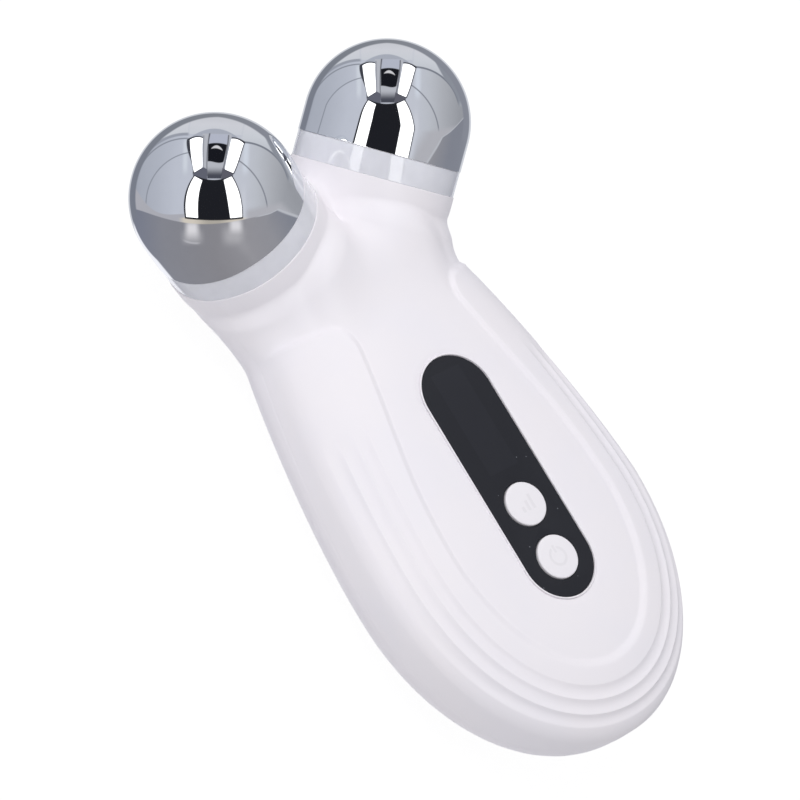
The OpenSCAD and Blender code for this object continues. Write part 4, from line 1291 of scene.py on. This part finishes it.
    # Window frame between the bars, its joints and the dark openings: levels of each, then its
    # left, right, top and bottom lines
    bar_ul = ((-280, -660, -262, -507, -249, -420, -220, -286),
              (-135, -680, -137, -550, -131, -420, -130, -330))
    bar_ur = ((188, -680, 170, -550, 150, -440, 133, -310),
              (325, -620, 295, -500, 266, -393, 224, -280))
    bar_ll = ((-215, -235, -262, -150, -315, 50, -312, 230),
              (-128, -190, -160, -80, -178, 50, -180, 235))
    bar_lr = ((118, -195, 150, -50, 175, 100, 195, 245),
              (205, -235, 265, -120, 318, 80, 327, 225))
    frame_left = (-138, -740, -137, -500, -130, -250)
    frame_right = (190, -740, 155, -450, 130, -250)
    pieces = (
        ((167, 171, 182), -250, 250, (-250, -705, 20, -790, 250, -700), -690),
        ((180, 182, 189), frame_left, frame_right, -730, -240),
        ((150, 152, 160), (-136, -730, -125, -250), (-118, -730, -112, -250), -710, -300),
        ((178, 182, 196), (-62, -740, -70, -600), (152, -740, 145, -600), -728, -610),
        ((96, 98, 106), (-68, -730, -78, -600, -77, -240), (-52, -730, -66, -600, -67, -240), -735,
         -240),
        ((102, 104, 112), (147, -720, 143, -600, 83, -240), (160, -720, 156, -600, 96, -240), -720,
         -240),
        ((96, 98, 110), (-240, -290, -225, -200), (-70, -330, -72, -190), (-216, -290, -130, -342,
         -70, -310), (-210, -225, -120, -180)),
        ((92, 92, 102), (100, -330, 88, -190), (232, -290, 215, -220), (134, -318, 220, -283),
         (120, -198, 210, -228)),
        ((62, 64, 72), (-311, -680, -305, -550, -262, -420, -237, -270), bar_ul[1], (-300, -672,
         -200, -702, -130, -690), (-240, -262, -132, -325)),
        ((60, 61, 68), bar_ur[0], (341, -630, 309, -500, 280, -393, 236, -270), (180, -695, 250,
         -690, 345, -645), (130, -305, 240, -262)),
        ((24, 25, 31), (-70, -630, -69, -390), (143, -600, 131, -507, 110, -400), (-70, -611, 30,
         -623, 145, -604), (-70, -408, -20, -405, 60, -391, 110, -403)),
        ((206, 205, 208), -34, 95, (-30, -562, 16, -594, 91, -548), (-30, -556, 16, -562, 91,
         -538)),
        ((30, 31, 36), bar_ll[0], bar_lr[1], (-210, -245, 0, -195, 210, -245), (-320, 243, 0, 268,
         320, 248)),
        ((26, 27, 33), (-232, -235, -282, -150, -338, 50, -330, 235), bar_ll[1], (-220, -245, -120,
         -200), (-330, 243, -170, 258)),
        ((52, 53, 58), bar_lr[0], (222, -235, 280, -120, 331, 80, 340, 235), (110, -205, 215,
         -248), (190, 258, 330, 247)),
    )
    for levels, *sides in pieces:
        lay(patch(u, v, *sides), *levels)
    lay(v.step(-0.36, -0.24) * patch(u, v, -70, (110, -400, 90, -200), -370, -210), 72, 74, 84)
    # The bright bars themselves
    for sides, top, bottom in (
            (bar_ul, (-280, -656, -200, -685, -130, -672), (-220, -283, -130, -338)),
            (bar_ur, (188, -674, 240, -673, 325, -628), (133, -317, 225, -279)),
            (bar_ll, (-213, -234, -128, -188), (-312, 223, -180, 237)),
            (bar_lr, (118, -193, 207, -236), (195, 241, 325, 226))):
        tent = s.mix(patch(u, v, *sides, top, bottom), tent, (BARS, BARS, BARS))
    # Rim behind everything, and the bright ground beside it
    rim = (far + abs(u).least(0.5) * 0.05).step(0.922, 0.942) * (v - u * u * 0.12).fall(0.0, 0.16)
    tent = s.mix(rim, tent, ramp(u, -1.0, 1.0, (-0.9, 120, 124, 135), (-0.6, 121, 125, 134),
                                 (0.0, 127, 130, 137), (0.6, 133, 136, 146)))
    lay(far.step(0.972, 0.984) * 0.7, 222, 224, 230)
    lay(far.step(0.965, 0.978) * v.step(0.16, 0.24) * u.fall(-0.2, 0.2), 236, 237, 243)
    path = s.node("ShaderNodeLightPath").outputs
    plain, white, mirror = (
        s.node("ShaderNodeBackground", inputs={"Color": colour, "Strength": power}).outputs[0]
        for colour, power in (((0.97, 0.975, 1.0), strength), ((1.0, 1.0, 1.0), 1.0), (tent, 1.0)))
    seen = s.blend(path["Is Camera Ray"], plain, white)
    s.node("ShaderNodeOutputWorld", inputs={
        "Surface": s.blend(path["Is Glossy Ray"], seen, mirror)})


def floor_finish():
    """Pale floor: white to the camera, darker only where the device shades it."""
    material = bpy.data.materials.new("studio_floor")
    s = Shader(material)
    path = s.node("ShaderNodeLightPath").outputs
    matt = s.node("ShaderNodeBsdfDiffuse", inputs={"Color": (0.95, 0.95, 0.955)})
    white = s.node("ShaderNodeEmission", inputs={"Color": (1.0, 1.0, 1.0), "Strength": 1.06})
    seen = s.num(path["Is Camera Ray"]).most(s.num(path["Is Transmission Ray"])) * 0.89
    s.node("ShaderNodeOutputMaterial", inputs={
        "Surface": s.blend(seen, matt.outputs[0], white.outputs[0])})
    return material


def lamp(name, place, target, power, width):
    """Soft square lamp aimed at a point; polished faces don't show it."""
    light = bpy.data.lights.new(name, "AREA")
    light.energy = power
    light.size = width
    shade = linked(name, light)
    shade.location = place
    shade.rotation_euler = (target - place).to_track_quat("-Z", "Y").to_euler()
    shade.visible_glossy = False


class TONER_OT_studio(bpy.types.Operator):
    """Camera, pale floor, soft lamps and surroundings"""
    bl_idname = "toner.studio"
    bl_label = "Studio"

    def execute(self, context):
        scene = context.scene
        setup = sizes("studio")
        camera = linked("camera", bpy.data.cameras.new("camera"))
        camera.data.lens = setup.lens
        camera.data.sensor_width = 36.0
        camera.data.clip_end = 20.0
        right, down, ahead = (Vector(axis) for axis in VIEW)
        turn = Matrix((right, -down, -ahead)).transposed().to_4x4()
        camera.matrix_world = Matrix.Translation(Vector(CAMERA_PLACE)) @ turn
        scene.camera = camera
        scene.view_settings.view_transform = "Standard"
        ground = bpy.data.meshes.new("studio_ground")
        ground.from_pydata([(x * GROUND, y * GROUND, 0) for x, y in (
            (-1, -1), (1, -1), (1, 1), (-1, 1))], [], [(0, 1, 2, 3)])
        ground.materials.append(floor_finish())
        floor = linked("studio_ground", ground)
        floor.visible_glossy = False
        world = scene.world or bpy.data.worlds.new("studio")
        scene.world = world
        studio_world(world, setup.sky)
        for name, aside, power, width in (
                ("key_lamp", Vector((-0.28, 0.36, 0.88)) * 1.1, setup.key, 0.5),
                ("fill_lamp", Vector((0.6, -0.3, 0.74)) * 1.2, setup.fill, 0.8)):
            lamp(name, MIDDLE + aside, MIDDLE, power, width)
        return {"FINISHED"}


class TONER_PT_pieces(bpy.types.Panel):
    """Buttons and sizes of the device in the sidebar"""
    bl_idname = "TONER_PT_pieces"
    bl_label = "Facial Toner"
    bl_space_type = "VIEW_3D"
    bl_region_type = "UI"
    bl_category = "Facial Toner"

    def draw(self, context):
        layout = self.layout
        for operator in OPERATORS:
            layout.operator(operator.bl_idname)
        for group in GROUPS:
            box = layout.box()
            settings = getattr(context.scene, group)
            for key in settings.bl_rna.properties.keys():
                if key not in {"rna_type", "name"}:
                    box.prop(settings, key)


OPERATORS = (TONER_OT_studio, TONER_OT_inner_parts, TONER_OT_front_housing,
             TONER_OT_rear_housing, TONER_OT_control_panel, TONER_OT_buttons,
             TONER_OT_light_rings, TONER_OT_electrodes)
GROUPS = {"toner_grip": TonerGripSizes, "toner_head": TonerHeadSizes,
          "toner_panel": TonerPanelSizes, "toner_finish": TonerFinish,
          "toner_studio": TonerStudio}


def register():
    for kind in (*GROUPS.values(), *OPERATORS, TONER_PT_pieces):
        bpy.utils.register_class(kind)
    for name, kind in GROUPS.items():
        setattr(bpy.types.Scene, name, PointerProperty(type=kind))


def unregister():
    for name in GROUPS:
        delattr(bpy.types.Scene, name)
    for kind in (TONER_PT_pieces, *reversed(OPERATORS), *reversed(GROUPS.values())):
        bpy.utils.unregister_class(kind)


def main():
    register()
    for operator in OPERATORS:
        group, name = operator.bl_idname.split(".")
        getattr(getattr(bpy.ops, group), name)()


if __name__ == "__main__":
    main()
